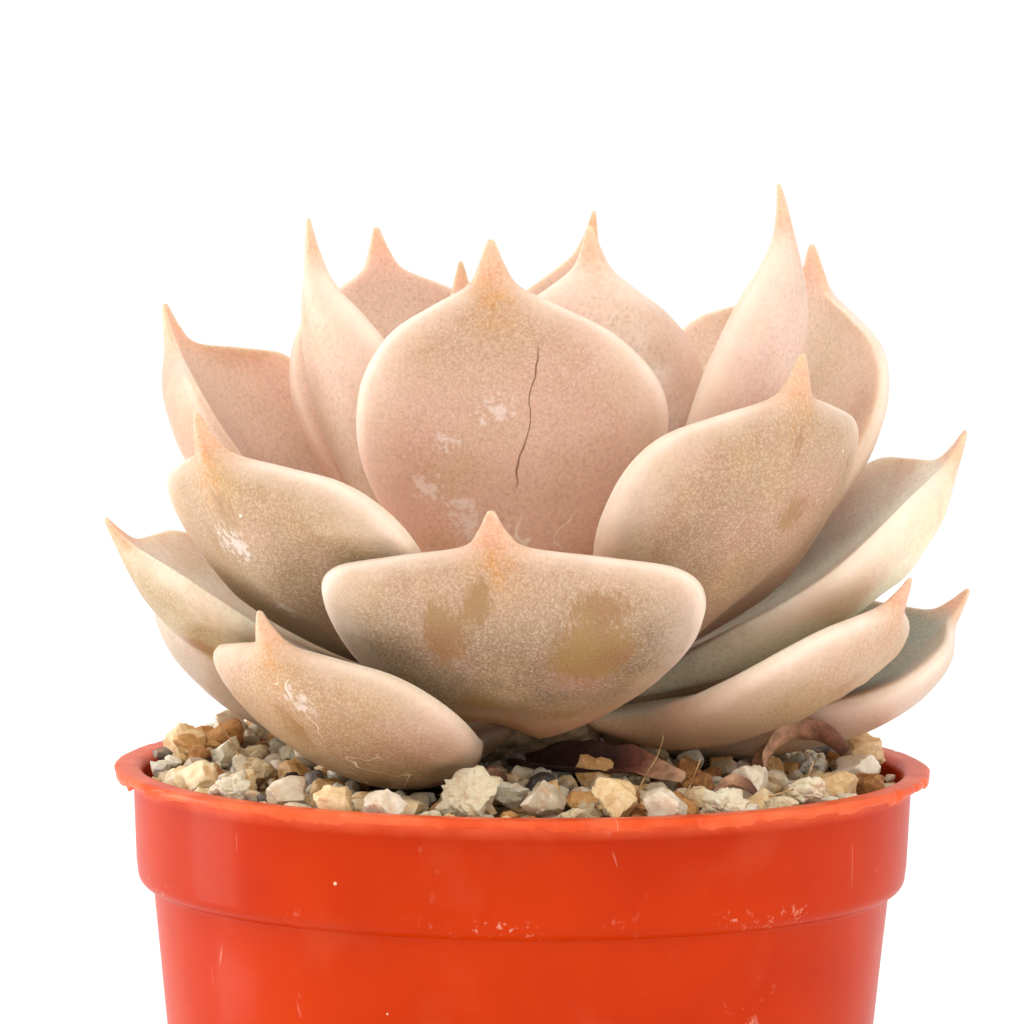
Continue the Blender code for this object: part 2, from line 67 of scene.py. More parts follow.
# ---- Pot ---------------------------------------------------------------------------------------------
# A thin nursery pot with a deep collar, moulded in one shot from orange polypropylene.
# The steel mould leaves it semi-gloss, and the worn parting edge leaves torn flash round the lip.
# Watering and potting have left lime, specks of grit and hair-fine scratches on it.

pot_low, pot_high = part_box("pot")
RIM = pot_high.z
RIM_RADIUS = (pot_high.x - pot_low.x) / 2
LIP_OVERHANG = 2.1 * MM
LIP_THICKNESS = 1.0 * MM
WALL = 1.1 * MM
BAND_HEIGHT = 13.4 * MM
BAND_TAPER = 0.6 * MM
BAND_LEDGE = 1.8 * MM
BAND_FOOT_ROUND = 1.9 * MM
BODY_TAPER = 6.5 * MM
FOOT_ROUND = 1.5 * MM
FLOOR = 1.4 * MM
DRAIN_RADIUS = 3.5 * MM
DRAIN_INSET = 12.5 * MM
DRAIN_COUNT = 6
LIME_LINE = 1.4 * MM
POT_STEPS = 540
BAND_TOP_RADIUS = RIM_RADIUS - LIP_OVERHANG
BAND_FOOT_RADIUS = BAND_TOP_RADIUS - BAND_TAPER
BODY_TOP_RADIUS = BAND_FOOT_RADIUS - BAND_LEDGE
FOOT_RADIUS = BODY_TOP_RADIUS - BODY_TAPER
BAND_FOOT = RIM - BAND_HEIGHT


def linear(colour):
    """An sRGB hex colour as linear RGBA."""
    parts = [int(colour[i : i + 2], 16) / 255 for i in (1, 3, 5)]
    return (*[c / 12.92 if c <= 0.04045 else ((c + 0.055) / 1.055) ** 2.4 for c in parts], 1.0)


def join(tree, node, inputs):
    """Fills a node's inputs. Each gets a node or a socket to link, a number, or a hex colour."""
    for name, value in inputs.items():
        if isinstance(value, bpy.types.Node):
            value = next(socket for socket in value.outputs if socket.enabled)
        if isinstance(value, bpy.types.NodeSocket):
            tree.links.new(value, node.inputs[name])
        else:
            node.inputs[name].default_value = linear(value) if isinstance(value, str) else value


def add(tree, kind, inputs=None, stops=None, **settings):
    """Adds a node with its settings, its inputs and the stops of its colour ramp."""
    node = tree.nodes.new("ShaderNode" + kind)
    for name, value in settings.items():
        setattr(node, name, value)
    join(tree, node, inputs or {})
    for i, (place, colour) in enumerate(stops or ()):
        ramp = node.color_ramp.elements
        element = ramp[i] if i < 2 else ramp.new(place)
        element.position = place
        element.color = linear(colour)
    return node


def new_material(name, **values):
    """A material, its node tree, its shader with the values set, and the object's own coordinates."""
    material = bpy.data.materials.new(name)
    material.use_nodes = True
    tree = material.node_tree
    shader = tree.nodes["Principled BSDF"]
    join(tree, shader, {socket.replace("_", " "): value for socket, value in values.items()})
    return material, tree, shader, add(tree, "TexCoord").outputs["Object"]


def new_piece(name, points, faces, material, attributes=None, sharp=None):
    """A mesh object that rides on the body, with its finish and any per-point values that the finish
    reads. Edges bent by more than the angle sharp stay crisp."""
    mesh = bpy.data.meshes.new(name)
    mesh.from_pydata(points, [], faces)
    for key, values in (attributes or {}).items():
        if isinstance(values[0], tuple):
            flat = [part for colour in values for part in colour]
            mesh.attributes.new(key, "FLOAT_COLOR", "POINT").data.foreach_set("color", flat)
        else:
            mesh.attributes.new(key, "FLOAT", "POINT").data.foreach_set("value", values)
    mesh.shade_smooth()
    if sharp:
        mesh.set_sharp_from_angle(angle=sharp)
    mesh.materials.append(material)
    piece = bpy.data.objects.new(name, mesh)
    bpy.context.scene.collection.objects.link(piece)
    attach(piece, "root")
    return piece


def clamp(value):
    return min(1.0, max(0.0, value))


def smooth(low, high, value):
    """0 below low, 1 above high, and an S curve between."""
    t = clamp((value - low) / (high - low))
    return t * t * (3 - 2 * t)


def arc(centre, radius, start, end, count):
    """Points on an arc, angles in degrees."""
    angles = [math.radians(start + (end - start) * i / count) for i in range(count + 1)]
    return [(centre[0] + radius * math.cos(a), centre[1] + radius * math.sin(a)) for a in angles]


def ring_faces(rows, ring):
    """Faces between rings of points, one ring after another, and a face over the first ring."""
    faces = [(i * ring + j, (i + 1) * ring + j, (i + 1) * ring + (j + 1) % ring, i * ring + (j + 1) % ring)
             for i in range(rows - 1) for j in range(ring)]
    return faces + [tuple(range(ring))]


def last_face(rows, ring):
    """The face over the last ring."""
    return tuple(reversed(range((rows - 1) * ring, rows * ring)))


def body_radius(z):
    return FOOT_RADIUS + BODY_TAPER * z / BAND_FOOT


def inner_radius(z):
    """Radius of the pot's inside at height z."""
    shelf = BAND_FOOT + WALL
    if z < shelf:
        return body_radius(z) - WALL
    t = smooth(0.0, BAND_FOOT_ROUND, z - shelf)
    rise = (z - shelf) / (RIM - shelf)
    band = BAND_FOOT_RADIUS + BAND_TAPER * rise
    return (body_radius(shelf) - WALL) * (1 - t) + (band - WALL) * t


def pot_profile():
    """(radius, height, lip) up the inside, over the lip and down the outside. lip is 1 on the thin edge."""
    shelf = BAND_FOOT + WALL
    half = LIP_THICKNESS / 2
    inside = [(0.001 * MM, FLOOR), (FOOT_RADIUS / 2, FLOOR)]
    inside += [(inner_radius(z), z) for z in (FLOOR, shelf * 0.3, shelf * 0.7, shelf - 0.1 * MM)]
    heights = [shelf + BAND_FOOT_ROUND * i / 4 for i in range(5)]
    heights += [RIM - 6 * MM, RIM - 3 * MM, RIM - LIP_THICKNESS]
    inside += [(inner_radius(z), z) for z in heights]
    top = [(BAND_TOP_RADIUS - WALL * 0.7, RIM - 0.25 * MM), (BAND_TOP_RADIUS - WALL * 0.35, RIM)]
    top += [(BAND_TOP_RADIUS + LIP_OVERHANG * share, RIM) for share in (0.1, 0.4)]
    edge = arc((RIM_RADIUS - half, RIM - half), half, 90, -90, 8)
    under = [(BAND_TOP_RADIUS + LIP_OVERHANG * share, RIM - LIP_THICKNESS) for share in (0.5, 0.25)]
    under += arc((BAND_TOP_RADIUS + 0.35 * MM, RIM - LIP_THICKNESS - 0.35 * MM), 0.35 * MM, 90, 180, 3)
    span = RIM - LIP_THICKNESS - BAND_FOOT
    band = [(BAND_FOOT_RADIUS + BAND_TAPER * k / 8, BAND_FOOT + span * k / 8) for k in range(7, 1, -1)]
    round_centre = (BAND_FOOT_RADIUS - BAND_FOOT_ROUND, BAND_FOOT + BAND_FOOT_ROUND)
    band += arc(round_centre, BAND_FOOT_ROUND, 0, -75, 8)
    fillet = [(BODY_TOP_RADIUS + 0.15 * MM, BAND_FOOT + 0.02 * MM), (BODY_TOP_RADIUS, BAND_FOOT - 0.4 * MM)]
    body = [(body_radius(BAND_FOOT * k / 10), BAND_FOOT * k / 10) for k in range(9, 0, -1)]
    foot = arc((FOOT_RADIUS - FOOT_ROUND, FOOT_ROUND), FOOT_ROUND, 0, -90, 6)
    foot += [(FOOT_RADIUS * 0.5, 0.0), (0.001 * MM, 0.0)]
    plain = [(r, z, 0.0) for r, z in inside]
    plain += [(r, z, 1.0) for r, z in top + edge + under]
    return plain + [(r, z, 0.0) for r, z in band + fillet + body + foot]


def torn_edge(angle):
    """How far the lip's edge stands out, and how far flash hangs from it, at an angle round the pot. Its
    waves are 7 and 2.4 mm long; flakes come about every 4.6 mm, with crumbs and nicks between; all in mm."""
    where = Vector((math.cos(angle), math.sin(angle), 0.0)) * RIM_RADIUS
    wander = noise.noise(where / (7 * MM)) * 0.24 + noise.noise(where / (2.4 * MM)) * 0.05
    flake = noise.noise(where / (4.6 * MM) + Vector((9.0, 0.0, 0.0)))
    hang = smooth(0.10, 0.13, flake) * (0.46 + 0.35 * noise.noise(where / (1.7 * MM)))
    hang += smooth(0.30, 0.36, noise.noise(where / (1.5 * MM) + Vector((0.0, 0.0, 4.0)))) * 0.3
    nick = smooth(0.34, 0.40, noise.noise(where / (2.6 * MM) + Vector((0.0, 5.0, 0.0)))) * 0.35
    return (wander - nick) * MM, max(0.0, hang) * MM


def pot_mesh():
    profile = pot_profile()
    points, lips = [], []
    for radius, height, lip in profile:
        for j in range(POT_STEPS):
            angle = math.tau * j / POT_STEPS
            r, z = radius, height
            if radius > FOOT_RADIUS * 0.9:
                around = Vector((math.cos(angle) * radius, math.sin(angle) * radius, height))
                r += 0.09 * MM * noise.noise(around / (26 * MM))
            if lip:
                out, hang = torn_edge(angle)
                share = clamp((radius - BAND_TOP_RADIUS) / LIP_OVERHANG)
                r += out * share
                below = clamp((RIM - height) / LIP_THICKNESS)
                z -= hang * smooth(0.55, 1.0, share) * below
            points.append((r * math.cos(angle), r * math.sin(angle), z))
            lips.append(lip)
    faces = ring_faces(len(profile), POT_STEPS) + [last_face(len(profile), POT_STEPS)]
    return points, faces, lips


def cut_drains(pot):
    """Round holes through the pot's floor, cut by cylinders that are removed afterwards."""
    shape = bmesh.new()
    ring = FOOT_RADIUS - DRAIN_INSET
    for i in range(DRAIN_COUNT):
        angle = math.tau * (i + 0.5) / DRAIN_COUNT
        place = Matrix.Translation((ring * math.cos(angle), ring * math.sin(angle), 0.0))
        bmesh.ops.create_cone(shape, cap_ends=True, segments=40, radius1=DRAIN_RADIUS, radius2=DRAIN_RADIUS,
                              depth=6 * FLOOR, matrix=place)
    mesh = bpy.data.meshes.new("drain_cutters")
    shape.to_mesh(mesh)
    shape.free()
    cutters = bpy.data.objects.new("drain_cutters", mesh)
    bpy.context.scene.collection.objects.link(cutters)
    boolean = pot.modifiers.new("Drain holes", "BOOLEAN")
    boolean.operation = "DIFFERENCE"
    boolean.solver = "EXACT"
    boolean.object = cutters
    graph = bpy.context.evaluated_depsgraph_get()
    holed = bpy.data.meshes.new_from_object(pot.evaluated_get(graph))
    pot.modifiers.clear()
    pot.data = holed
    bpy.data.objects.remove(cutters)


def cloud(tree, place, size_mm, low, high, most=1.0, detail=3.0, roughness=0.5):
    """A patchy factor from 0 to most, in patches of about size_mm."""
    patches = add(tree, "TexNoise", {"Vector": place, "Scale": 1 / (size_mm * MM), "Detail": detail,
                                     "Roughness": roughness})
    return add(tree, "MapRange", {"Value": patches, "From Min": low, "From Max": high, "To Max": most})


def lay_over(tree, colour, *layers):
    """Lays tints over a colour, one after the other. Each layer is (how much of it, tint)."""
    for amount, tint in layers:
        colour = add(tree, "Mix", {"Factor": amount, "A": colour, "B": tint}, data_type="RGBA")
    return colour


def specks(tree, place, spacing_mm, size_mm, share, strength=1.0, shift=0.0):
    """Round spots of about size_mm in a share of the cells of a spacing_mm pattern."""
    moved = add(tree, "Mapping", {"Vector": place, "Location": (shift, shift, shift)})
    cells = add(tree, "TexVoronoi", {"Vector": moved, "Scale": 1 / (spacing_mm * MM)})
    radius = 0.5 * size_mm / spacing_mm
    spot = add(tree, "MapRange", {"Value": cells, "From Min": 0.7 * radius, "From Max": 1.3 * radius,
                                  "To Min": strength, "To Max": 0.0})
    draw = add(tree, "SeparateColor", {"Color": cells.outputs["Color"]})
    chosen = add(tree, "Math", {0: draw, 1: share}, operation="LESS_THAN")
    return add(tree, "Math", {0: spot, 1: chosen}, operation="MULTIPLY")


def hairlines(tree, place, spacing_mm, width_mm, stretch, patch_mm, strength):
    """Thin lines along the borders of a stretched cell pattern, kept only in patches."""
    turned = add(tree, "Mapping", {"Vector": place, "Rotation": (0.4, 0.5, 0.9), "Scale": stretch})
    borders = add(tree, "TexVoronoi", {"Vector": turned, "Scale": 1 / (spacing_mm * MM)},
                  feature="DISTANCE_TO_EDGE")
    width = width_mm / spacing_mm
    line = add(tree, "MapRange", {"Value": borders, "From Min": 0.3 * width, "From Max": width,
                                  "To Min": strength, "To Max": 0.0})
    patches = cloud(tree, place, patch_mm, 0.60, 0.68)
    return add(tree, "Math", {0: line, 1: patches}, operation="MULTIPLY")


def polypropylene():
    """Orange polypropylene, moulded: an even deep colour, a soft gloss, and coral where the lip is thin."""
    material, tree, shader, place = new_material(
        "orange_polypropylene", Roughness=0.35, IOR=1.49, Specular_IOR_Level=0.03, Coat_Weight=0.13,
        Coat_Roughness=0.14)
    lip = add(tree, "Attribute", attribute_name="lip").outputs["Fac"]
    thick = lay_over(tree, "#b82c00", (cloud(tree, place, 16, 0.3, 0.7), "#c63500"))
    thin = lay_over(tree, "#de5026", (cloud(tree, place, 6, 0.35, 0.65), "#ec6c42"))

    # Lime from hard water: a broken line of it along the collar's foot, and faint smears elsewhere.
    height = add(tree, "SeparateXYZ", {"Vector": place}).outputs["Z"]
    off = add(tree, "Math", {0: height, 1: BAND_FOOT + LIME_LINE}, operation="SUBTRACT")
    off = add(tree, "Math", {0: off}, operation="ABSOLUTE")
    by_foot = add(tree, "MapRange", {"Value": off, "From Min": 0.3 * MM, "From Max": 1.5 * MM,
                                     "To Min": 1.0, "To Max": 0.0})
    crust = add(tree, "Math", {0: cloud(tree, place, 0.9, 0.56, 0.66, 0.8, 5.0, 0.7),
                               1: cloud(tree, place, 14, 0.5, 0.6)}, operation="MULTIPLY")
    crust = add(tree, "Math", {0: crust, 1: by_foot}, operation="MULTIPLY")
    smear = add(tree, "Math", {0: cloud(tree, place, 1.5, 0.56, 0.70, 0.6, 6.0, 0.7),
                               1: cloud(tree, place, 12, 0.66, 0.72)}, operation="MULTIPLY")
    lime = add(tree, "Math", {0: crust, 1: smear}, operation="MAXIMUM")

    # Hair scratches 0.1 mm wide, and specks of grit 0.2 to 0.4 mm across that dried on.
    scratches = hairlines(tree, place, 13, 0.08, (1.0, 1.0, 0.3), 7, 0.30)
    pale = add(tree, "Math", {0: lime, 1: scratches}, operation="MAXIMUM")
    dots = add(tree, "Math", {0: specks(tree, place, 2.4, 0.24, 0.13, 0.8),
                              1: specks(tree, place, 6.0, 0.42, 0.18, 0.85, 0.05)}, operation="MAXIMUM")
    colour = lay_over(tree, thick, (lip, thin), (cloud(tree, place, 9, 0.55, 0.8, 0.10), "#e0825c"),
                      (pale, "#f0b79c"), (dots, "#ecd0ac"))

    dull = add(tree, "Math", {0: pale, 1: dots}, operation="MAXIMUM")
    rough = add(tree, "MapRange", {"Value": dull, "To Min": 0.35, "To Max": 0.7})
    relief = add(tree, "Math", {0: cloud(tree, place, 5, 0.2, 0.8, 0.5), 1: dots}, operation="ADD")
    bump = add(tree, "Bump", {"Height": relief, "Distance": 0.06 * MM, "Strength": 0.3})
    join(tree, shader, {"Base Color": colour, "Roughness": rough, "Normal": bump})
    return material


pot_points, pot_faces, pot_lips = pot_mesh()
pot = new_piece("moulded_pot", pot_points, pot_faces, polypropylene(), {"lip": pot_lips})
cut_drains(pot)
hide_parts("pot")


# ---- Soil --------------------------------------------------------------------------------------------
# A gritty cactus mix fills the pot to just under its lip, a little higher round the stem.
# Between the stones only dark, crumbly peat and fine sand show, so it is matt and nearly black-brown.

SOIL_EDGE = RIM - 2.2 * MM
SOIL_CROWN = 2.6 * MM
SOIL_LEVEL_SHARE = 0.25
SOIL_ROUGH = 0.5 * MM
SOIL_LUMP = 6.0 * MM
GAP = 0.3 * MM


def soil_height(x, y):
    """Height of the soil's top above the pot's foot."""
    distance = math.hypot(x, y) / inner_radius(SOIL_EDGE)
    crown = SOIL_CROWN * (1 - smooth(SOIL_LEVEL_SHARE, 1.0, distance))
    return SOIL_EDGE + crown + SOIL_ROUGH * noise.noise(Vector((x, y, 0.0)) / SOIL_LUMP)


def peat():
    """Peat and sand: matt dark brown crumbs about 1 mm across, with paler sand grains in it."""
    material, tree, shader, place = new_material("peat_and_sand", Roughness=0.95, IOR=1.4)
    crumbs = add(tree, "TexVoronoi", {"Vector": place, "Scale": 1 / (0.9 * MM)})
    tone = add(tree, "SeparateColor", {"Color": crumbs.outputs["Color"]})
    colour = add(tree, "ValToRGB", {"Fac": tone}, stops=(
        (0.0, "#2a1a10"), (0.55, "#4a3220"), (0.8, "#7a5a38"), (1.0, "#b89a6a")))
    grain = add(tree, "TexNoise", {"Vector": place, "Scale": 1 / (0.35 * MM), "Detail": 3.0})
    depth = add(tree, "Math", {0: grain, 1: crumbs}, operation="SUBTRACT")
    bump = add(tree, "Bump", {"Height": depth, "Distance": 0.4 * MM, "Strength": 0.9})
    join(tree, shader, {"Base Color": colour, "Normal": bump})
    return material


frame["nodes"]["soil"].data.materials.clear()
frame["nodes"]["soil"].data.materials.append(peat())


# ---- Stem --------------------------------------------------------------------------------------------
# A short, thick stem, corky and pale brown where old leaves have dropped, narrowing to the growing tip.
# It is rooted in the soil, and every leaf is joined to it.

stem_low, stem_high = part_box("stem")
STEM_AT = Vector(((stem_low.x + stem_high.x) / 2, (stem_low.y + stem_high.y) / 2, 0.0))
STEM_RADIUS = (stem_high.x - stem_low.x) / 2
STEM_FOOT = STEM_AT + Vector((0.0, 0.0, SOIL_EDGE))
STEM_TOP = stem_high.z - SOIL_EDGE
STEM_SHOULDER = 7.2 * MM


def stem_radius(height):
    """Radius of the stem at a height above the soil's edge."""
    if height <= STEM_SHOULDER:
        return STEM_RADIUS
    t = min(1.0, (height - STEM_SHOULDER) / (STEM_TOP - STEM_SHOULDER))
    return STEM_RADIUS * math.sqrt(max(0.0, 1 - t * t))


def corky_bark():
    """Corky bark: matt pale brown, ringed by leaf scars about 2 mm apart."""
    material, tree, shader, place = new_material("corky_bark", Roughness=0.85, IOR=1.4)
    squeezed = add(tree, "Mapping", {"Vector": place, "Scale": (1.0, 1.0, 3.0)})
    rings = add(tree, "TexNoise", {"Vector": squeezed, "Scale": 1 / (4 * MM), "Detail": 5.0})
    colour = add(tree, "ValToRGB", {"Fac": rings}, stops=((0.35, "#5d4630"), (0.65, "#b39a78")))
    bump = add(tree, "Bump", {"Height": rings, "Distance": 0.5 * MM, "Strength": 0.7})
    join(tree, shader, {"Base Color": colour, "Normal": bump})
    return material


frame["nodes"]["stem"].data.materials.clear()
frame["nodes"]["stem"].data.materials.append(corky_bark())


# ---- Leaves ------------------------------------------------------------------------------------------
# Thirty-one thick water-storing leaves, spiralled round the stem, oldest and lowest first.
# Each is a keeled spoon with a rounded margin and a drawn-out point, grown as one piece with the stem.
# Heights are above the soil's edge. Neighbours press on each other and grow thinner where they touch.

FIRST_LEAF_HEIGHT = 6.4 * MM
LAST_LEAF_HEIGHT = 20.8 * MM
BASE_DROP = 1.5 * MM
BASE_GAP = 0.6 * MM
LEAF_GAP = 0.4 * MM
LEAF_THICKNESS = 6.2 * MM
THINNEST_HALF = 0.12 * MM
UPPER_SHARE = 0.34
EDGE_ROUND = 0.8
FULL_WIDTH = 30.0 * MM
BEND_POWER = 1.5
BODY_STATIONS = 42
TIP_STATIONS = 26
TIP_FROM = 0.78
LEAF_RING = 48

# Half-width along the leaf, as (share of the length, share of the half-width)
POINTED = (
    (0.00, 0.20), (0.14, 0.30), (0.32, 0.68), (0.48, 0.94), (0.60, 1.00), (0.70, 0.90), (0.79, 0.66),
    (0.85, 0.37), (0.895, 0.165), (0.94, 0.08), (1.00, 0.015),
)
BLUNT = (
    (0.00, 0.20), (0.14, 0.30), (0.32, 0.66), (0.50, 0.92), (0.64, 1.00), (0.75, 0.96), (0.82, 0.80),
    (0.865, 0.48), (0.90, 0.18), (0.94, 0.085), (1.00, 0.015),
)
# Thickness along the leaf, as (share of the length, share of the full thickness)
BODY = (
    (0.00, 0.45), (0.20, 0.90), (0.45, 1.00), (0.68, 0.88), (0.80, 0.66), (0.87, 0.44), (0.91, 0.30),
    (0.95, 0.18), (1.00, 0.04),
)


# Flesh colours as (foot, middle, shoulder, upper face)
OLD = ("#e4bd9a", "#c8ab84", "#d4b292", "#b9b6a0")
MIDDLE = ("#e6c8a8", "#c9a684", "#d8b28c", "#e2cbb6")
YOUNG = ("#f2dac6", "#eccab6", "#e6c4ae", "#e4c4ae")


class Leaf:
    """One leaf. azimuth: degrees round the stem, 0 towards -Y and 90 towards +X; tip_radius, tip_height,
    width: mm; bend: degrees that the midline turns upwards; cup: how far the edges rise; roll: degrees of
    twist; bow: mm that its middle swings sideways; blunt: 0 pointed, 1 flat-topped; flesh: its colours,
    with painted light and shade in some of them, paler where the leaf lies in shade and darker where light
    falls full on it or another leaf's shadow falls; streak: strength of the ochre streak below the point;
    marks: wear as (kind, share of the length, share of the half-width, length and width in mm, strength);
    pale_rim_and_rim_light: how strong its cream margin is, with the painted glow and highlight along it."""

    def __init__(self, azimuth, tip_radius, tip_height, width, bend, cup, roll, bow, blunt,
                 flesh=YOUNG, streak=0.3, marks=(), pale_rim_and_rim_light=1.0):
        self.azimuth = math.radians(azimuth)
        self.tip_radius = tip_radius * MM
        self.tip_height = tip_height * MM
        self.width = width * MM
        self.bend = math.radians(bend)
        self.cup = cup
        self.roll = math.radians(roll)
        self.bow = bow * MM
        self.blunt = blunt
        self.flesh = [linear(colour) for colour in flesh]
        self.streak = streak
        self.marks = marks
        self.pale_rim_and_rim_light = pale_rim_and_rim_light


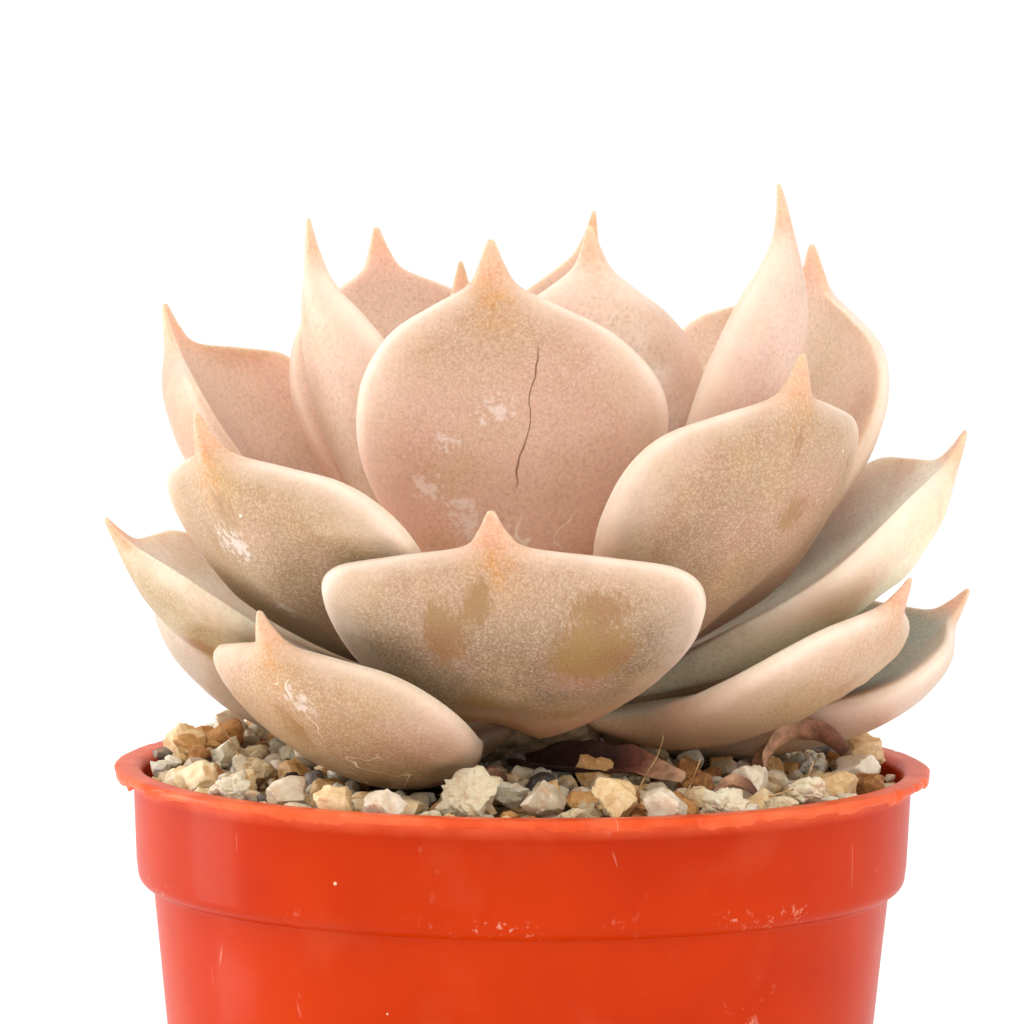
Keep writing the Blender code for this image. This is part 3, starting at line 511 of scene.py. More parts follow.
LEAVES = (
    Leaf(-116, 47.0, 25.2, 36.0, 82, 0.24, 5, 0.0, 0.7, ("#bca68c", "#b09d83", "#b8a088", "#b9b6a2"), 0.4,
         (("scuff", 0.80, 0.3, 5, 3, 0.6),), 0.4),
    Leaf(105, 50.0, 21.0, 36.0, 60, 0.24, 6, 0.0, 0.7, ("#ead2b4", "#dcbc9c", "#c6a584", "#8f9686"), 0.5,
         (("scuff", 0.60, -0.3, 6, 4, 0.8), ("scuff", 0.50, 0.1, 5, 4, 0.6))),
    # Painted shade: its foot is darkened as a painted shadow of the leaf in front, and its middle toned down
    # where light falls full on it.
    Leaf(-42, 44.5, 23.2, 33.0, 90, 0.18, -3, 3.0, 1.0, ("#7a5e44", "#a3865f", "#b8916a", "#b4b09a"), 0.9,
         (("scuff", 0.72, -0.05, 8, 4, 0.75), ("scuff", 0.48, 0.25, 4, 7, 0.8),
          ("scuff", 0.60, -0.5, 5, 3, 0.6), ("scratch", 0.55, 0.30, 7, 8, 1.0),
          ("scratch", 0.78, 0.15, 5, 4, 1.0), ("rub", 0.80, 0.2, 3, 3, 0.8)), 0.7),
    Leaf(-170, 46.0, 26.2, 36.0, 58, 0.22, 0, 0.0, 0.7, OLD, 0.5,
         (("scuff", 0.7, 0.4, 5, 4, 0.7),)),
    Leaf(65, 44.5, 25.7, 31.0, 62, 0.11, -2, 0.0, 0.5, ("#d8b08a", "#bb9d74", "#c8a480", "#b9b6a0"), 0.6,
         (("scuff", 0.70, -0.2, 8, 3, 0.6), ("scuff", 0.78, 0.1, 3, 2, 0.6),
          ("scuff", 0.45, 0.5, 9, 2, 0.7))),
    Leaf(-82, 48.0, 30.2, 36.0, 44, 0.24, -6, 0.0, 0.7, ("#d8c296", "#b09a68", "#a68a58", "#eeead8"), 0.6,
         (("scuff", 0.66, 0.42, 6, 3, 1.0), ("scuff", 0.8, 0.2, 4, 2, 0.6),
          ("scratch", 0.5, 0.5, 5, 3, 0.8)), 0.5),
    Leaf(138, 46.0, 30.2, 36.0, 68, 0.24, 0, 0.0, 0.7, OLD, 0.5,
         (("scuff", 0.75, 0.0, 4, 4, 0.7),)),
    # Painted light and shade: its foot is made pale where its lower part lies in shade, and its middle
    # darker where light falls full on it.
    Leaf(-7, 42.0, 35.0, 39.5, 80, 0.16, 2, 1.9, 1.4, ("#ffc692", "#846d52", "#be9b7c", "#c8c0a6"), 1.0,
         (("scuff", 0.72, -0.34, 8, 4.0, 1.0), ("scuff", 0.80, -0.14, 5, 3.4, 0.9),
          ("scuff", 0.66, 0.42, 8, 9, 1.0), ("scuff", 0.77, 0.50, 5, 7, 0.8),
          ("scuff", 0.50, -0.24, 5, 5, 0.85), ("scuff", 0.45, 0.3, 4, 8, 0.6),
          ("scratch", 0.70, -0.2, 6, 3, 0.5))),
    Leaf(-142, 46.0, 36.2, 36.0, 52, 0.24, 0, 0.0, 0.7, MIDDLE, 0.5,
         (("scuff", 0.7, -0.2, 5, 4, 0.7),)),
    # Painted light: near-white flesh on its outer face, which the leaves below it shade.
    Leaf(88, 47.0, 40.2, 38.0, 50, 0.26, 6, 0.0, 0.9, ("#fff6dc", "#fff4d6", "#ffe0b8", "#f0f2e2"), 0.6,
         (("scuff", 0.5, 0.1, 5, 4, 0.3),)),
    # Painted light and shade: its foot is made pale where the leaf in front shades it, and its middle darker
    # where light falls full on it.
    Leaf(-55, 45.0, 43.7, 35.5, 62, 0.22, 6, 5.0, 1.0, ("#ffe2c0", "#a08364", "#b08c64", "#ecd6c2"), 1.0,
         (("scuff", 0.80, 0.05, 6, 3, 0.8), ("scuff", 0.74, -0.3, 7, 2.5, 0.7),
          ("rub", 0.74, -0.05, 4, 4, 0.9), ("rub", 0.56, -0.1, 4, 4, 0.7),
          ("scuff", 0.58, -0.06, 4, 3, 0.6))),
    Leaf(169, 43.0, 45.2, 36.0, 50, 0.24, 0, 0.0, 0.7, MIDDLE, 0.5,
         (("scuff", 0.75, 0.3, 5, 4, 0.6),)),
    Leaf(46, 39.0, 50.7, 36.0, 61, 0.22, 0, -2.4, 1.0, ("#cb9e8a", "#a98465", "#b79270", "#dcc4ae"), 0.6,
         (("scuff", 0.68, 0.15, 5, 5, 0.75), ("scuff", 0.74, 0.7, 5, 2, 0.6),
          ("scuff", 0.82, 0.0, 5, 3, 0.6), ("rub", 0.7, 0.45, 3, 3, 0.5))),
    Leaf(-108, 44.0, 52.2, 33.0, 50, 0.40, 0, 0.0, 1.4, ("#e8c4a4", "#c99a7a", "#cc9f80", "#e8c4ac"), 0.2,
         (), 0.5),
    Leaf(120, 35.0, 59.2, 41.0, 66, 0.24, 5, -1.0, 1.0, ("#e4c4a6", "#dab99c", "#d9b79e", "#debfa4"), 0.2,
         (("scuff", 0.75, 0.4, 4, 4, 0.4),)),
    # Painted light: its sides and shoulder are made paler where they lie in shade.
    Leaf(-13, 24.0, 62.4, 34.0, 42, 0.16, 8, 1.8, 0.3, ("#f8c8b4", "#ddb19b", "#c49b7c", "#ecd0bc"), 1.0,
         (("rub", 0.66, -0.06, 3.5, 2.4, 1.0), ("rub", 0.60, -0.40, 2, 3, 0.8),
          ("rub", 0.50, -0.54, 2.6, 2.6, 1.0), ("rub", 0.44, -0.30, 5, 3, 0.9),
          ("scratch", 0.40, 0.3, 6, 8, 0.7), ("scuff", 0.33, 0.5, 4, 3, 0.5))),
    Leaf(-142, 30.0, 60.2, 34.5, 32, 0.18, 0, 0.0, 0.5, ("#eed2be", "#e0bda4", "#e2bc9e", "#e0bba2"), 0.5),
    Leaf(72, 27.0, 67.7, 25.0, 52, 0.28, 0, 0.0, -0.2, ("#ffe2c8", "#f0ccbb", "#e2beab", "#e2beab"), 0.2),
    Leaf(-70, 27.0, 63.5, 22.0, 27, 0.28, 6, 0.0, -0.5, ("#f2d8c2", "#e3c4ad", "#e2c6ae", "#dfbfa8"), 0.1),
    Leaf(166, 25.0, 62.2, 20.0, 26, 0.34, 0, 2.0, 0.0, YOUNG, 0.1),
    # Painted light: near-white flesh, as it lies in shade behind the front leaves.
    Leaf(22, 14.0, 63.2, 27.0, 24, 0.24, -4, 1.0, 0.0, ("#fffcf6", "#fff0e6", "#f2d5c3", "#f0d0bc"), 0.3,
         (("scratch", 0.8, 0.1, 4, 2, 0.8),)),
    Leaf(-145, 15.5, 57.2, 20.0, 20, 0.34, 0, 0.0, 0.0),
    Leaf(97, 12.0, 51.7, 17.0, 20, 0.34, 6, 0.0, 0.2),
    Leaf(-40, 9.5, 51.2, 15.0, 22, 0.34, 6, 0.0, 0.2),
    Leaf(-177, 9.0, 50.7, 14.0, 24, 0.34, 6, 0.0, 0.2),
    Leaf(45, 6.5, 49.7, 12.0, 26, 0.34, 6, 0.0, 0.2),
    Leaf(-92, 5.5, 48.7, 11.0, 26, 0.34, 6, 0.0, 0.2),
    Leaf(130, 4.5, 47.2, 9.5, 26, 0.34, 6, 0.0, 0.2),
    Leaf(-7, 3.5, 45.7, 8.0, 26, 0.34, 6, 0.0, 0.2),
    Leaf(-145, 3.0, 43.7, 7.0, 24, 0.34, 6, 0.0, 0.2),
    Leaf(77, 2.2, 41.2, 6.0, 22, 0.34, 6, 0.0, 0.2),
)
# One leaf has split skin: (which leaf, how far across and along it starts and ends, in mm)
CRACK_LEAF = 15
CRACK = ((4.2, 41.5), (0.8, 27.0))
TIP_FLESH = linear("#efb795")
# The pale margin: its width and strength on the outer and upper faces, and the bright rim inside it. The
# margin is partly the leaf's own cream edge and partly painted glow; the rim is partly a painted highlight
# along the rounded edge
MARGIN_MM = 4.0
OUTER_MARGIN = 0.50
UPPER_MARGIN = 0.22
RIM_MM = 0.9
RIM_MARGIN_AND_HIGHLIGHT = 0.42
STREAK_AT = 0.875
STREAK_LENGTH = 0.06
STREAK_MM = 2.4
MARK_SPREAD = 0.62


def along(points, t):
    """A smooth curve through (place, value) points, read at place t."""
    last = len(points) - 2
    i = next((k for k in range(last + 1) if t <= points[k + 1][0]), last)
    (t0, a), (t1, b) = points[i], points[i + 1]

    def slope(k):
        low, high = points[max(k - 1, 0)], points[min(k + 1, len(points) - 1)]
        return (high[1] - low[1]) / (high[0] - low[0])

    step = t1 - t0
    u = clamp((t - t0) / step)
    start, end = slope(i) * step, slope(i + 1) * step
    return (a * (2 * u**3 - 3 * u**2 + 1) + start * (u**3 - 2 * u**2 + u)
            + b * (3 * u**2 - 2 * u**3) + end * (u**3 - u**2))


def leaf_midline(index, stations):
    """(point, upper normal, side, distance along) on the leaf's midline, at each share of its length."""
    leaf = LEAVES[index]
    outward = Vector((math.sin(leaf.azimuth), -math.cos(leaf.azimuth), 0.0))
    side = Vector((math.cos(leaf.azimuth), math.sin(leaf.azimuth), 0.0))
    up = Vector((0.0, 0.0, 1.0))
    base_height = FIRST_LEAF_HEIGHT + (LAST_LEAF_HEIGHT - FIRST_LEAF_HEIGHT) * index / (len(LEAVES) - 1)
    base_radius = stem_radius(base_height - BASE_DROP) + BASE_GAP
    steps = 80
    run, climb, path = 0.0, 0.0, [(0.0, 0.0)]
    for i in range(steps):
        angle = leaf.bend * ((i + 0.5) / steps) ** BEND_POWER
        run += math.cos(angle) / steps
        climb += math.sin(angle) / steps
        path.append((run, climb))
    reach = leaf.tip_radius - base_radius
    rise = leaf.tip_height - base_height
    scale = math.hypot(reach, rise) / math.hypot(run, climb)
    start = math.atan2(rise, reach) - math.atan2(climb, run)
    ahead = (outward * math.cos(start) + up * math.sin(start)) * scale
    above = (up * math.cos(start) - outward * math.sin(start)) * scale
    origin = STEM_AT + outward * base_radius + up * (SOIL_EDGE + base_height)
    frames = []
    for t in stations:
        place = min(int(t * steps), steps - 1)
        part = t * steps - place
        run = path[place][0] * (1 - part) + path[place + 1][0] * part
        climb = path[place][1] * (1 - part) + path[place + 1][1] * part
        swing = leaf.bow * math.sin(math.pi * t**1.5) ** 2
        point = origin + ahead * run + above * climb + side * swing
        angle = start + leaf.bend * t**BEND_POWER
        tangent = outward * math.cos(angle) + up * math.sin(angle)
        normal = up * math.cos(angle) - outward * math.sin(angle)
        twist = Matrix.Rotation(leaf.roll * smooth(0.0, 0.6, t), 3, tangent)
        frames.append((point, twist @ normal, twist @ side, scale * t))
    return frames


def half_width(leaf, t):
    share = along(POINTED, t) * (1 - leaf.blunt) + along(BLUNT, t) * leaf.blunt
    return share * leaf.width / 2


def leaf_sheet_point(leaf, place, t, across):
    """A point of the leaf's middle sheet. across runs from -1 to 1."""
    point, normal, side, _ = place
    half = half_width(leaf, t)
    lift = leaf.cup * half * smooth(-0.05, 0.35, t)
    return point + side * (across * half) + normal * (lift * across * across)


def leaf_sheets():
    """One BVH tree for each leaf's middle sheet, and the sphere that holds it."""
    trees = []
    stations = [i / 14 for i in range(15)]
    strips = 8
    for index, leaf in enumerate(LEAVES):
        places = leaf_midline(index, stations)
        points = [leaf_sheet_point(leaf, place, t, 2 * j / strips - 1)
                  for t, place in zip(stations, places) for j in range(strips + 1)]
        row = strips + 1
        faces = [(i * row + j, i * row + j + 1, (i + 1) * row + j + 1, (i + 1) * row + j)
                 for i in range(len(stations) - 1) for j in range(strips)]
        middle = sum(points, Vector()) / len(points)
        reach = max((p - middle).length for p in points)
        trees.append((BVHTree.FromPolygons(points, faces), middle, reach))
    return trees


def joined_tree(meshes):
    """One BVH tree of several meshes."""
    points, faces = [], []
    for mesh in meshes:
        start = len(points)
        points += [v.co.copy() for v in mesh.vertices]
        faces += [[start + v for v in face.vertices] for face in mesh.polygons]
    return BVHTree.FromPolygons(points, faces)


sheets = leaf_sheets()
stones_under = joined_tree([node.data for name, node in frame["nodes"].items() if name.startswith("stone_")])


def room(point, normal, upper, near, limit):
    """The free thickness on one side of a leaf's sheet, up to limit."""
    sign = 1.0 if upper else -1.0
    if not upper:
        limit = min(limit, point.z - soil_height(point.x, point.y) - 2 * GAP)
        found = stones_under.find_nearest(point, limit + 3 * GAP)
        if found[0] is not None:
            limit = found[3] - 3 * GAP
    for tree, middle, reach in near:
        if (point - middle).length > reach + 2 * limit + LEAF_GAP:
            continue
        found = tree.find_nearest(point, 2 * limit + LEAF_GAP)
        if found[0] is None or (found[0] - point).dot(normal) * sign < -0.2 * found[3]:
            continue
        limit = min(limit, (found[3] - LEAF_GAP) / 2)
    return max(limit, THINNEST_HALF)


LEAF_VALUES = ("flesh", "margin", "streak", "along", "across_mm", "along_mm", "crack_mm", "split", "scuff",
               "rub", "scratch")


def blend(colour_a, colour_b, share):
    return tuple(a + (b - a) * share for a, b in zip(colour_a, colour_b))


def leaf_finish(index, t, across, half, where, length, rise):
    """What the skin's finish reads at a point: its colours, and how much of each kind of wear there is.
    half: the half-width there, where: the distance along, length: the leaf's; all in mm."""
    leaf = LEAVES[index]
    foot, middle, shoulder, upper = leaf.flesh
    outer = blend(foot, middle, smooth(0.22, 0.55, t))
    outer = blend(outer, shoulder, smooth(0.62, 0.84, t))
    flesh = blend(outer, upper, smooth(-0.25, 0.25, rise))
    flesh = blend(flesh, TIP_FLESH, 0.85 * smooth(0.86, 0.95, t))
    inset = half * (1 - abs(across))
    broad = OUTER_MARGIN if rise < 0 else UPPER_MARGIN
    margin = broad * math.exp(-((inset / MARGIN_MM) ** 2)) + RIM_MARGIN_AND_HIGHLIGHT * math.exp(-((inset / RIM_MM) ** 2))
    # The margin is faded out towards the foot, partly as painted shade where the leaves cover each other
    # there, and towards the point.
    margin *= leaf.pale_rim_and_rim_light * smooth(0.18, 0.55, t) * (1 - 0.9 * smooth(0.86, 0.93, t))
    below_point = ((t - STREAK_AT) / STREAK_LENGTH) ** 2
    streak = leaf.streak * math.exp(-below_point - (across * half / STREAK_MM) ** 2)
    wear = {"scuff": 0.0, "rub": 0.0, "scratch": 0.0}
    for kind, along_at, across_at, tall, wide, strength in leaf.marks:
        dx = (t - along_at) * length / (tall * MARK_SPREAD)
        dy = (across - across_at) * half / (wide * MARK_SPREAD)
        if rise < 0.2:
            wear[kind] = max(wear[kind], strength * math.exp(-dx * dx - dy * dy))
    (x1, y1), (x2, y2) = CRACK
    crack = across * half - (x1 + (x2 - x1) * (where - y1) / (y2 - y1))
    split = smooth(y2 - 2, y2 + 2, where) * (1 - smooth(y1 - 1, y1 + 1, where))
    return (flesh, margin, streak if rise < 0.3 else 0.0, t, across * half, where, crack,
            split if index == CRACK_LEAF and rise < 0 else 0.0, wear["scuff"], wear["rub"], wear["scratch"])


def leaf_mesh(index):
    """The leaf's points and faces, and where each point is on it, for the finish."""
    leaf = LEAVES[index]
    stations = [TIP_FROM * i / BODY_STATIONS for i in range(BODY_STATIONS)]
    stations += [TIP_FROM + (1 - TIP_FROM) * i / TIP_STATIONS for i in range(TIP_STATIONS)]
    places = leaf_midline(index, stations)
    near = [entry for other, entry in enumerate(sheets) if other != index]
    full = LEAF_THICKNESS * min(1.0, (leaf.width / FULL_WIDTH) ** 0.8)
    values = {key: [] for key in LEAF_VALUES}
    points = []
    grown = Vector((index * 7.3, index * 3.1, 0.0))
    for t, place in zip(stations, places):
        thick = full * along(BODY, t)
        half = half_width(leaf, t)
        taper = math.sqrt(max(0.0, 1 - smooth(0.965, 1.01, t) ** 2))
        for j in range(LEAF_RING):
            angle = math.tau * j / LEAF_RING
            across, rise = math.cos(angle), math.sin(angle)
            sheet = leaf_sheet_point(leaf, place, t, across * taper)
            share = UPPER_SHARE if rise >= 0 else 1 - UPPER_SHARE
            offset = thick * taper * share * abs(rise) ** EDGE_ROUND
            if offset > 0:
                offset = room(sheet, place[1], rise > 0, near, offset)
            wave = 1.0
            for length_mm in (5, 11):
                wave += 0.05 * noise.noise(sheet / (length_mm * MM) + grown)
            point = sheet + place[1] * (offset * wave if rise >= 0 else -offset * wave)
            ripple = 0.25 * MM * across * abs(across) * taper * noise.noise(Vector((t * 7, across, index)))
            point += place[2] * ripple
            points.append(point)
            finish = leaf_finish(index, t, across, half / MM, place[3] / MM, places[-1][3] / MM, rise)
            for key, value in zip(LEAF_VALUES, finish):
                values[key].append(value)
    rows = len(stations)
    faces = ring_faces(rows, LEAF_RING)
    tip = len(points)
    end = sum(points[-LEAF_RING:], Vector()) / LEAF_RING
    points.append(end + (end - places[-3][0]).normalized() * 0.12 * MM)
    for key in LEAF_VALUES:
        values[key].append(values[key][-1])
    last = (rows - 1) * LEAF_RING
    faces += [(last + j, tip, last + (j + 1) % LEAF_RING) for j in range(LEAF_RING)]
    return points, faces, values


def leaf_epidermis():
    """Living leaf skin over water-filled tissue: waxy, half-matt, granular, and glowing where it is thin.
    Cream at the margins, partly painted glow and highlight there, ochre to dusky rose between, olive-brown
    where it has been rubbed."""
    material, tree, shader, place = new_material(
        "waxy_leaf_skin", Roughness=0.46, IOR=1.42, Subsurface_Weight=0.5,
        Subsurface_Radius=(1.0, 0.55, 0.35), Subsurface_Scale=2.4 * MM, Coat_Weight=0.08, Coat_Roughness=0.3)
    value = {key: add(tree, "Attribute", attribute_name=key).outputs["Fac"] for key in LEAF_VALUES[1:]}

    # The margin is cream above and pink near the foot, over about 4 mm, with a brighter rim of 1 mm. It is
    # partly the leaf's own pale edge and partly painted glow, with a painted highlight along the rounded
    # rim.
    above = add(tree, "MapRange", {"Value": value["along"], "From Min": 0.35, "From Max": 0.62})
    edge_colour = lay_over(tree, "#f0cdbc", (above, "#f6dfcb"))
    soft = add(tree, "Math", {0: value["margin"], 1: cloud(tree, place, 3.0, 0.3, 0.7, 0.16)},
               operation="ADD")
    soft = add(tree, "MapRange", {"Value": soft, "From Min": 0.10, "From Max": 1.05})

    # A ragged ochre streak runs down the keel from the point.
    ragged = add(tree, "Math", {0: value["streak"], 1: cloud(tree, place, 1.6, 0.30, 0.62, 1.0, 5.0, 0.65)},
                 operation="MULTIPLY")

    # Granules about 0.3 mm across, pale over the ground colour and fewer towards the margin and the foot.
    ground = add(tree, "Math", {0: 1.0, 1: value["margin"]}, operation="SUBTRACT")
    upward = add(tree, "MapRange", {"Value": value["along"], "From Min": 0.15, "From Max": 0.6,
                                    "To Min": 0.35})
    shown = add(tree, "Math", {0: ground, 1: upward}, operation="MULTIPLY")
    grain = add(tree, "Math", {0: cloud(tree, place, 0.26, 0.42, 0.72, 0.42), 1: shown},
                operation="MULTIPLY")
    dark_grain = add(tree, "Math", {0: cloud(tree, place, 0.5, 0.46, 0.74, 0.30, 4.0), 1: ground},
                     operation="MULTIPLY")

    # Clouding 6 to 14 mm across comes first, rosier in some places and more ochre in others.
    # The flesh attribute holds each leaf's colours, with the painted light and shade of some leaves in them.
    colour = lay_over(tree, add(tree, "Attribute", attribute_name="flesh"),
                      (cloud(tree, place, 13, 0.50, 0.72, 0.45), "#cf9485"),
                      (cloud(tree, place, 8, 0.50, 0.72, 0.40), "#c6a268"),
                      (soft, edge_colour), (ragged, "#cf8f45"), (grain, "#f6dfc2"), (dark_grain, "#9c7452"))

    # Wear: olive-brown scuffs brushed along the leaf, bloom rubbed up white, and hair scratches.
    flat = add(tree, "CombineXYZ", {"X": value["across_mm"], "Y": value["along_mm"]})
    lengthways = add(tree, "Mapping", {"Vector": flat, "Rotation": (0.0, 0.0, 0.25),
                                       "Scale": (2.6, 0.7, 1.0)})
    brush = add(tree, "TexNoise", {"Vector": lengthways, "Scale": 1.0, "Detail": 6.0, "Roughness": 0.72})
    blotch = add(tree, "TexNoise", {"Vector": flat, "Scale": 0.9, "Detail": 8.0, "Roughness": 0.75})

    def worn(key, pattern, low, high, most, rough):
        """How much of one kind of wear shows: the amount of it there, broken up by a pattern."""
        amount = add(tree, "Math", {0: pattern, 1: 0.5}, operation="SUBTRACT")
        amount = add(tree, "Math", {0: amount, 1: rough}, operation="MULTIPLY")
        amount = add(tree, "Math", {0: value[key], 1: amount}, operation="ADD")
        amount = add(tree, "MapRange", {"Value": amount, "From Min": low, "From Max": high, "To Max": most})
        inside = add(tree, "MapRange", {"Value": value[key], "From Min": 0.12, "From Max": 0.3})
        return add(tree, "Math", {0: amount, 1: inside}, operation="MULTIPLY")

    scuffed = worn("scuff", brush, 0.40, 0.62, 0.72, 1.3)
    scuff_colour = lay_over(tree, "#9f7042", (cloud(tree, place, 5, 0.4, 0.6), "#a07f42"))
    rubbed = worn("rub", blotch, 0.42, 0.72, 0.60, 3.2)
    wander = add(tree, "TexNoise", {"Vector": flat, "Scale": 0.16, "Detail": 2.0})
    wander = add(tree, "Math", {0: wander, 1: 0.5}, operation="SUBTRACT")
    line = add(tree, "Math", {0: wander}, operation="ABSOLUTE")
    line = add(tree, "MapRange", {"Value": line, "From Min": 0.003, "From Max": 0.009,
                                  "To Min": 1.0, "To Max": 0.0})
    kept = add(tree, "MapRange", {"Value": value["scratch"], "From Min": 0.25, "From Max": 0.5,
                                  "To Max": 0.75})
    scratch = add(tree, "Math", {0: line, 1: kept}, operation="MULTIPLY")

    # Split skin: a brown line about 0.2 mm wide.
    split = add(tree, "Math", {0: wander, 1: 3.0}, operation="MULTIPLY")
    split = add(tree, "Math", {0: value["crack_mm"], 1: split}, operation="ADD")
    split = add(tree, "Math", {0: split}, operation="ABSOLUTE")
    split = add(tree, "MapRange", {"Value": split, "From Min": 0.04, "From Max": 0.13,
                                   "To Min": 0.85, "To Max": 0.0})
    split = add(tree, "Math", {0: split, 1: value["split"]}, operation="MULTIPLY")

    # Specks 0.2 to 0.4 mm across lie on the skin here and there: pale grit, and brown bits.
    colour = lay_over(tree, colour, (scuffed, scuff_colour), (rubbed, "#f6e6dd"), (scratch, "#fdeed8"),
                      (specks(tree, place, 3.4, 0.34, 0.16, 0.85), "#fff6e8"),
                      (specks(tree, place, 4.2, 0.36, 0.14, 0.7, 0.037), "#8a5634"), (split, "#7a4a28"))

    rough = add(tree, "MapRange", {"Value": scuffed, "To Min": 0.46, "To Max": 0.34})
    lumps = add(tree, "Bump", {"Height": cloud(tree, place, 2.5, 0.2, 0.8), "Distance": 0.25 * MM,
                               "Strength": 0.25})
    relief = add(tree, "Math", {0: rubbed, 1: 0.6}, operation="MULTIPLY")
    relief = add(tree, "Math", {0: grain, 1: relief}, operation="ADD")
    bump = add(tree, "Bump", {"Height": relief, "Distance": 0.08 * MM, "Strength": 0.6, "Normal": lumps})
    join(tree, shader, {"Base Color": colour, "Roughness": rough, "Normal": bump})
    return material


skin = leaf_epidermis()
for index in range(len(LEAVES)):
    number = f"{index + 1:02d}"
    points, faces, values = leaf_mesh(index)
    leaf = new_piece(f"living_leaf_{number}", points, faces, skin, values)
    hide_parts(f"leaf_{number}")


# ---- Dead leaves -------------------------------------------------------------------------------------
# Two old leaves that withered and dropped: a shrunken purple-brown one in front of the stem, and an
# arched papery one by the wall. They are loose on the soil, with a few torn flakes and dry root hairs.

DRY_STEPS = 44
DRY_RING = 20
DRY_HALF_THICKNESS = 0.3 * MM


class DryLeaf:
    """A withered leaf. path: (x, y, height, half-width, tilt in degrees) along it, in mm from the stem at
    the soil's edge; curl: how far its edges rise; wrinkle: depth of its creases in mm."""

    def __init__(self, name, stands_for, curl, wrinkle, path):
        self.name = name
        self.stands_for = stands_for
        self.curl = curl
        self.wrinkle = wrinkle
        self.path = path


DRY_LEAVES = (
    DryLeaf("withered_leaf_front", "dead_leaf_front", 0.5, 0.5, (
        (-2.5, -13.0, 3.8, 2.0, 0), (0.5, -14.2, 3.9, 3.0, 10), (4.5, -15.0, 4.0, 3.2, 20),
        (8.0, -15.5, 4.1, 2.8, 26), (11.0, -16.6, 4.2, 2.0, 30), (13.5, -18.0, 3.8, 1.3, 40),
        (16.0, -19.2, 3.4, 0.7, 50))),
    DryLeaf("withered_leaf_right", "dead_leaf_right", 0.6, 0.15, (
        (24.5, -10.0, 2.6, 0.9, 0), (25.1, -9.6, 4.6, 1.5, -14), (26.9, -9.0, 6.3, 2.0, -24),
        (29.5, -8.6, 6.9, 2.0, -30), (31.9, -8.4, 6.2, 1.6, -30), (33.5, -8.2, 4.8, 0.9, -20))),
    DryLeaf("torn_flake_1", None, 0.9, 0.2, (
        (-11.0, -17.5, 2.9, 0.5, 30), (-9.6, -18.2, 3.8, 1.1, 45), (-8.0, -18.6, 3.6, 1.0, 60),
        (-6.6, -19.4, 3.0, 0.3, 80))),
    DryLeaf("torn_flake_2", None, 0.8, 0.2, (
        (-7.2, -20.4, 2.6, 0.4, 0), (-5.8, -20.0, 3.3, 0.9, -20), (-4.4, -19.4, 3.4, 0.8, -35),
        (-3.2, -19.0, 2.9, 0.3, -40))),
    DryLeaf("torn_flake_3", None, 0.8, 0.15, (
        (19.5, -23.0, 2.4, 0.3, 0), (20.8, -22.6, 3.3, 0.8, 25), (22.4, -22.8, 3.2, 0.7, 45),
        (23.6, -23.4, 2.5, 0.3, 50))),
)


def withered_tissue():
    """Withered leaf: matt, papery and creased, purple-brown where the flesh dried, tan at the thin tip."""
    material, tree, shader, place = new_material("withered_tissue", Roughness=0.62, IOR=1.45)
    length = add(tree, "Attribute", attribute_name="along").outputs["Fac"]
    papery = add(tree, "Attribute", attribute_name="papery").outputs["Fac"]
    flesh = add(tree, "ValToRGB", {"Fac": length}, stops=(
        (0.0, "#241512"), (0.5, "#3a201b"), (0.68, "#7a4a3a"), (0.8, "#b08468"), (1.0, "#c9a080")))
    paper = add(tree, "ValToRGB", {"Fac": length}, stops=(
        (0.0, "#b98a6c"), (0.4, "#c29677"), (0.7, "#8a5b45"), (1.0, "#5f3a2c")))
    creases = add(tree, "TexNoise", {"Vector": place, "Scale": 1 / (1.1 * MM), "Detail": 6.0,
                                     "Roughness": 0.6})
    # Painted shade: the colour is darkened in the hollows of the creases and lightened on their ridges,
    # following the same pattern as the bump.
    painted_crease_shade = add(tree, "MapRange", {"Value": creases, "From Min": 0.35, "From Max": 0.65,
                                   "To Min": 0.65, "To Max": 1.35})
    colour = add(tree, "Mix", {"Factor": 1.0, "A": lay_over(tree, flesh, (papery, paper)), "B": painted_crease_shade},
                 data_type="RGBA", blend_type="MULTIPLY")
    bump = add(tree, "Bump", {"Height": creases, "Distance": 0.25 * MM, "Strength": 0.8})
    join(tree, shader, {"Base Color": colour, "Normal": bump})
    return material


def dry_leaf_mesh(dry, seed):
    last = len(dry.path) - 1
    columns = [[(i / last, step[c]) for i, step in enumerate(dry.path)] for c in range(5)]
    shares = [i / DRY_STEPS for i in range(DRY_STEPS + 1)]
    line = [STEM_FOOT + Vector([along(columns[c], t) for c in range(3)]) * MM for t in shares]
    points, length = [], []
    for i, t in enumerate(shares):
        ahead = (line[min(i + 1, DRY_STEPS)] - line[max(i - 1, 0)]).normalized()
        side = ahead.cross(Vector((0.0, 0.0, 1.0))).normalized()
        side = Matrix.Rotation(math.radians(along(columns[4], t)), 3, ahead) @ side
        normal = side.cross(ahead)
        half = along(columns[3], t) * MM
        for j in range(DRY_RING):
            angle = math.tau * j / DRY_RING
            across = math.cos(angle)
            ragged = 1 + 0.16 * noise.noise(Vector((t * 9, round(across), seed)))
            crumple = dry.wrinkle * MM * noise.noise(Vector((t * 9, across * 2.2, seed + 3)))
            rise = dry.curl * half * across * across + DRY_HALF_THICKNESS * math.sin(angle) + crumple
            points.append(line[i] + side * (half * across * ragged) + normal * rise)
            length.append(t)
    return points, ring_faces(DRY_STEPS + 1, DRY_RING) + [last_face(DRY_STEPS + 1, DRY_RING)], length


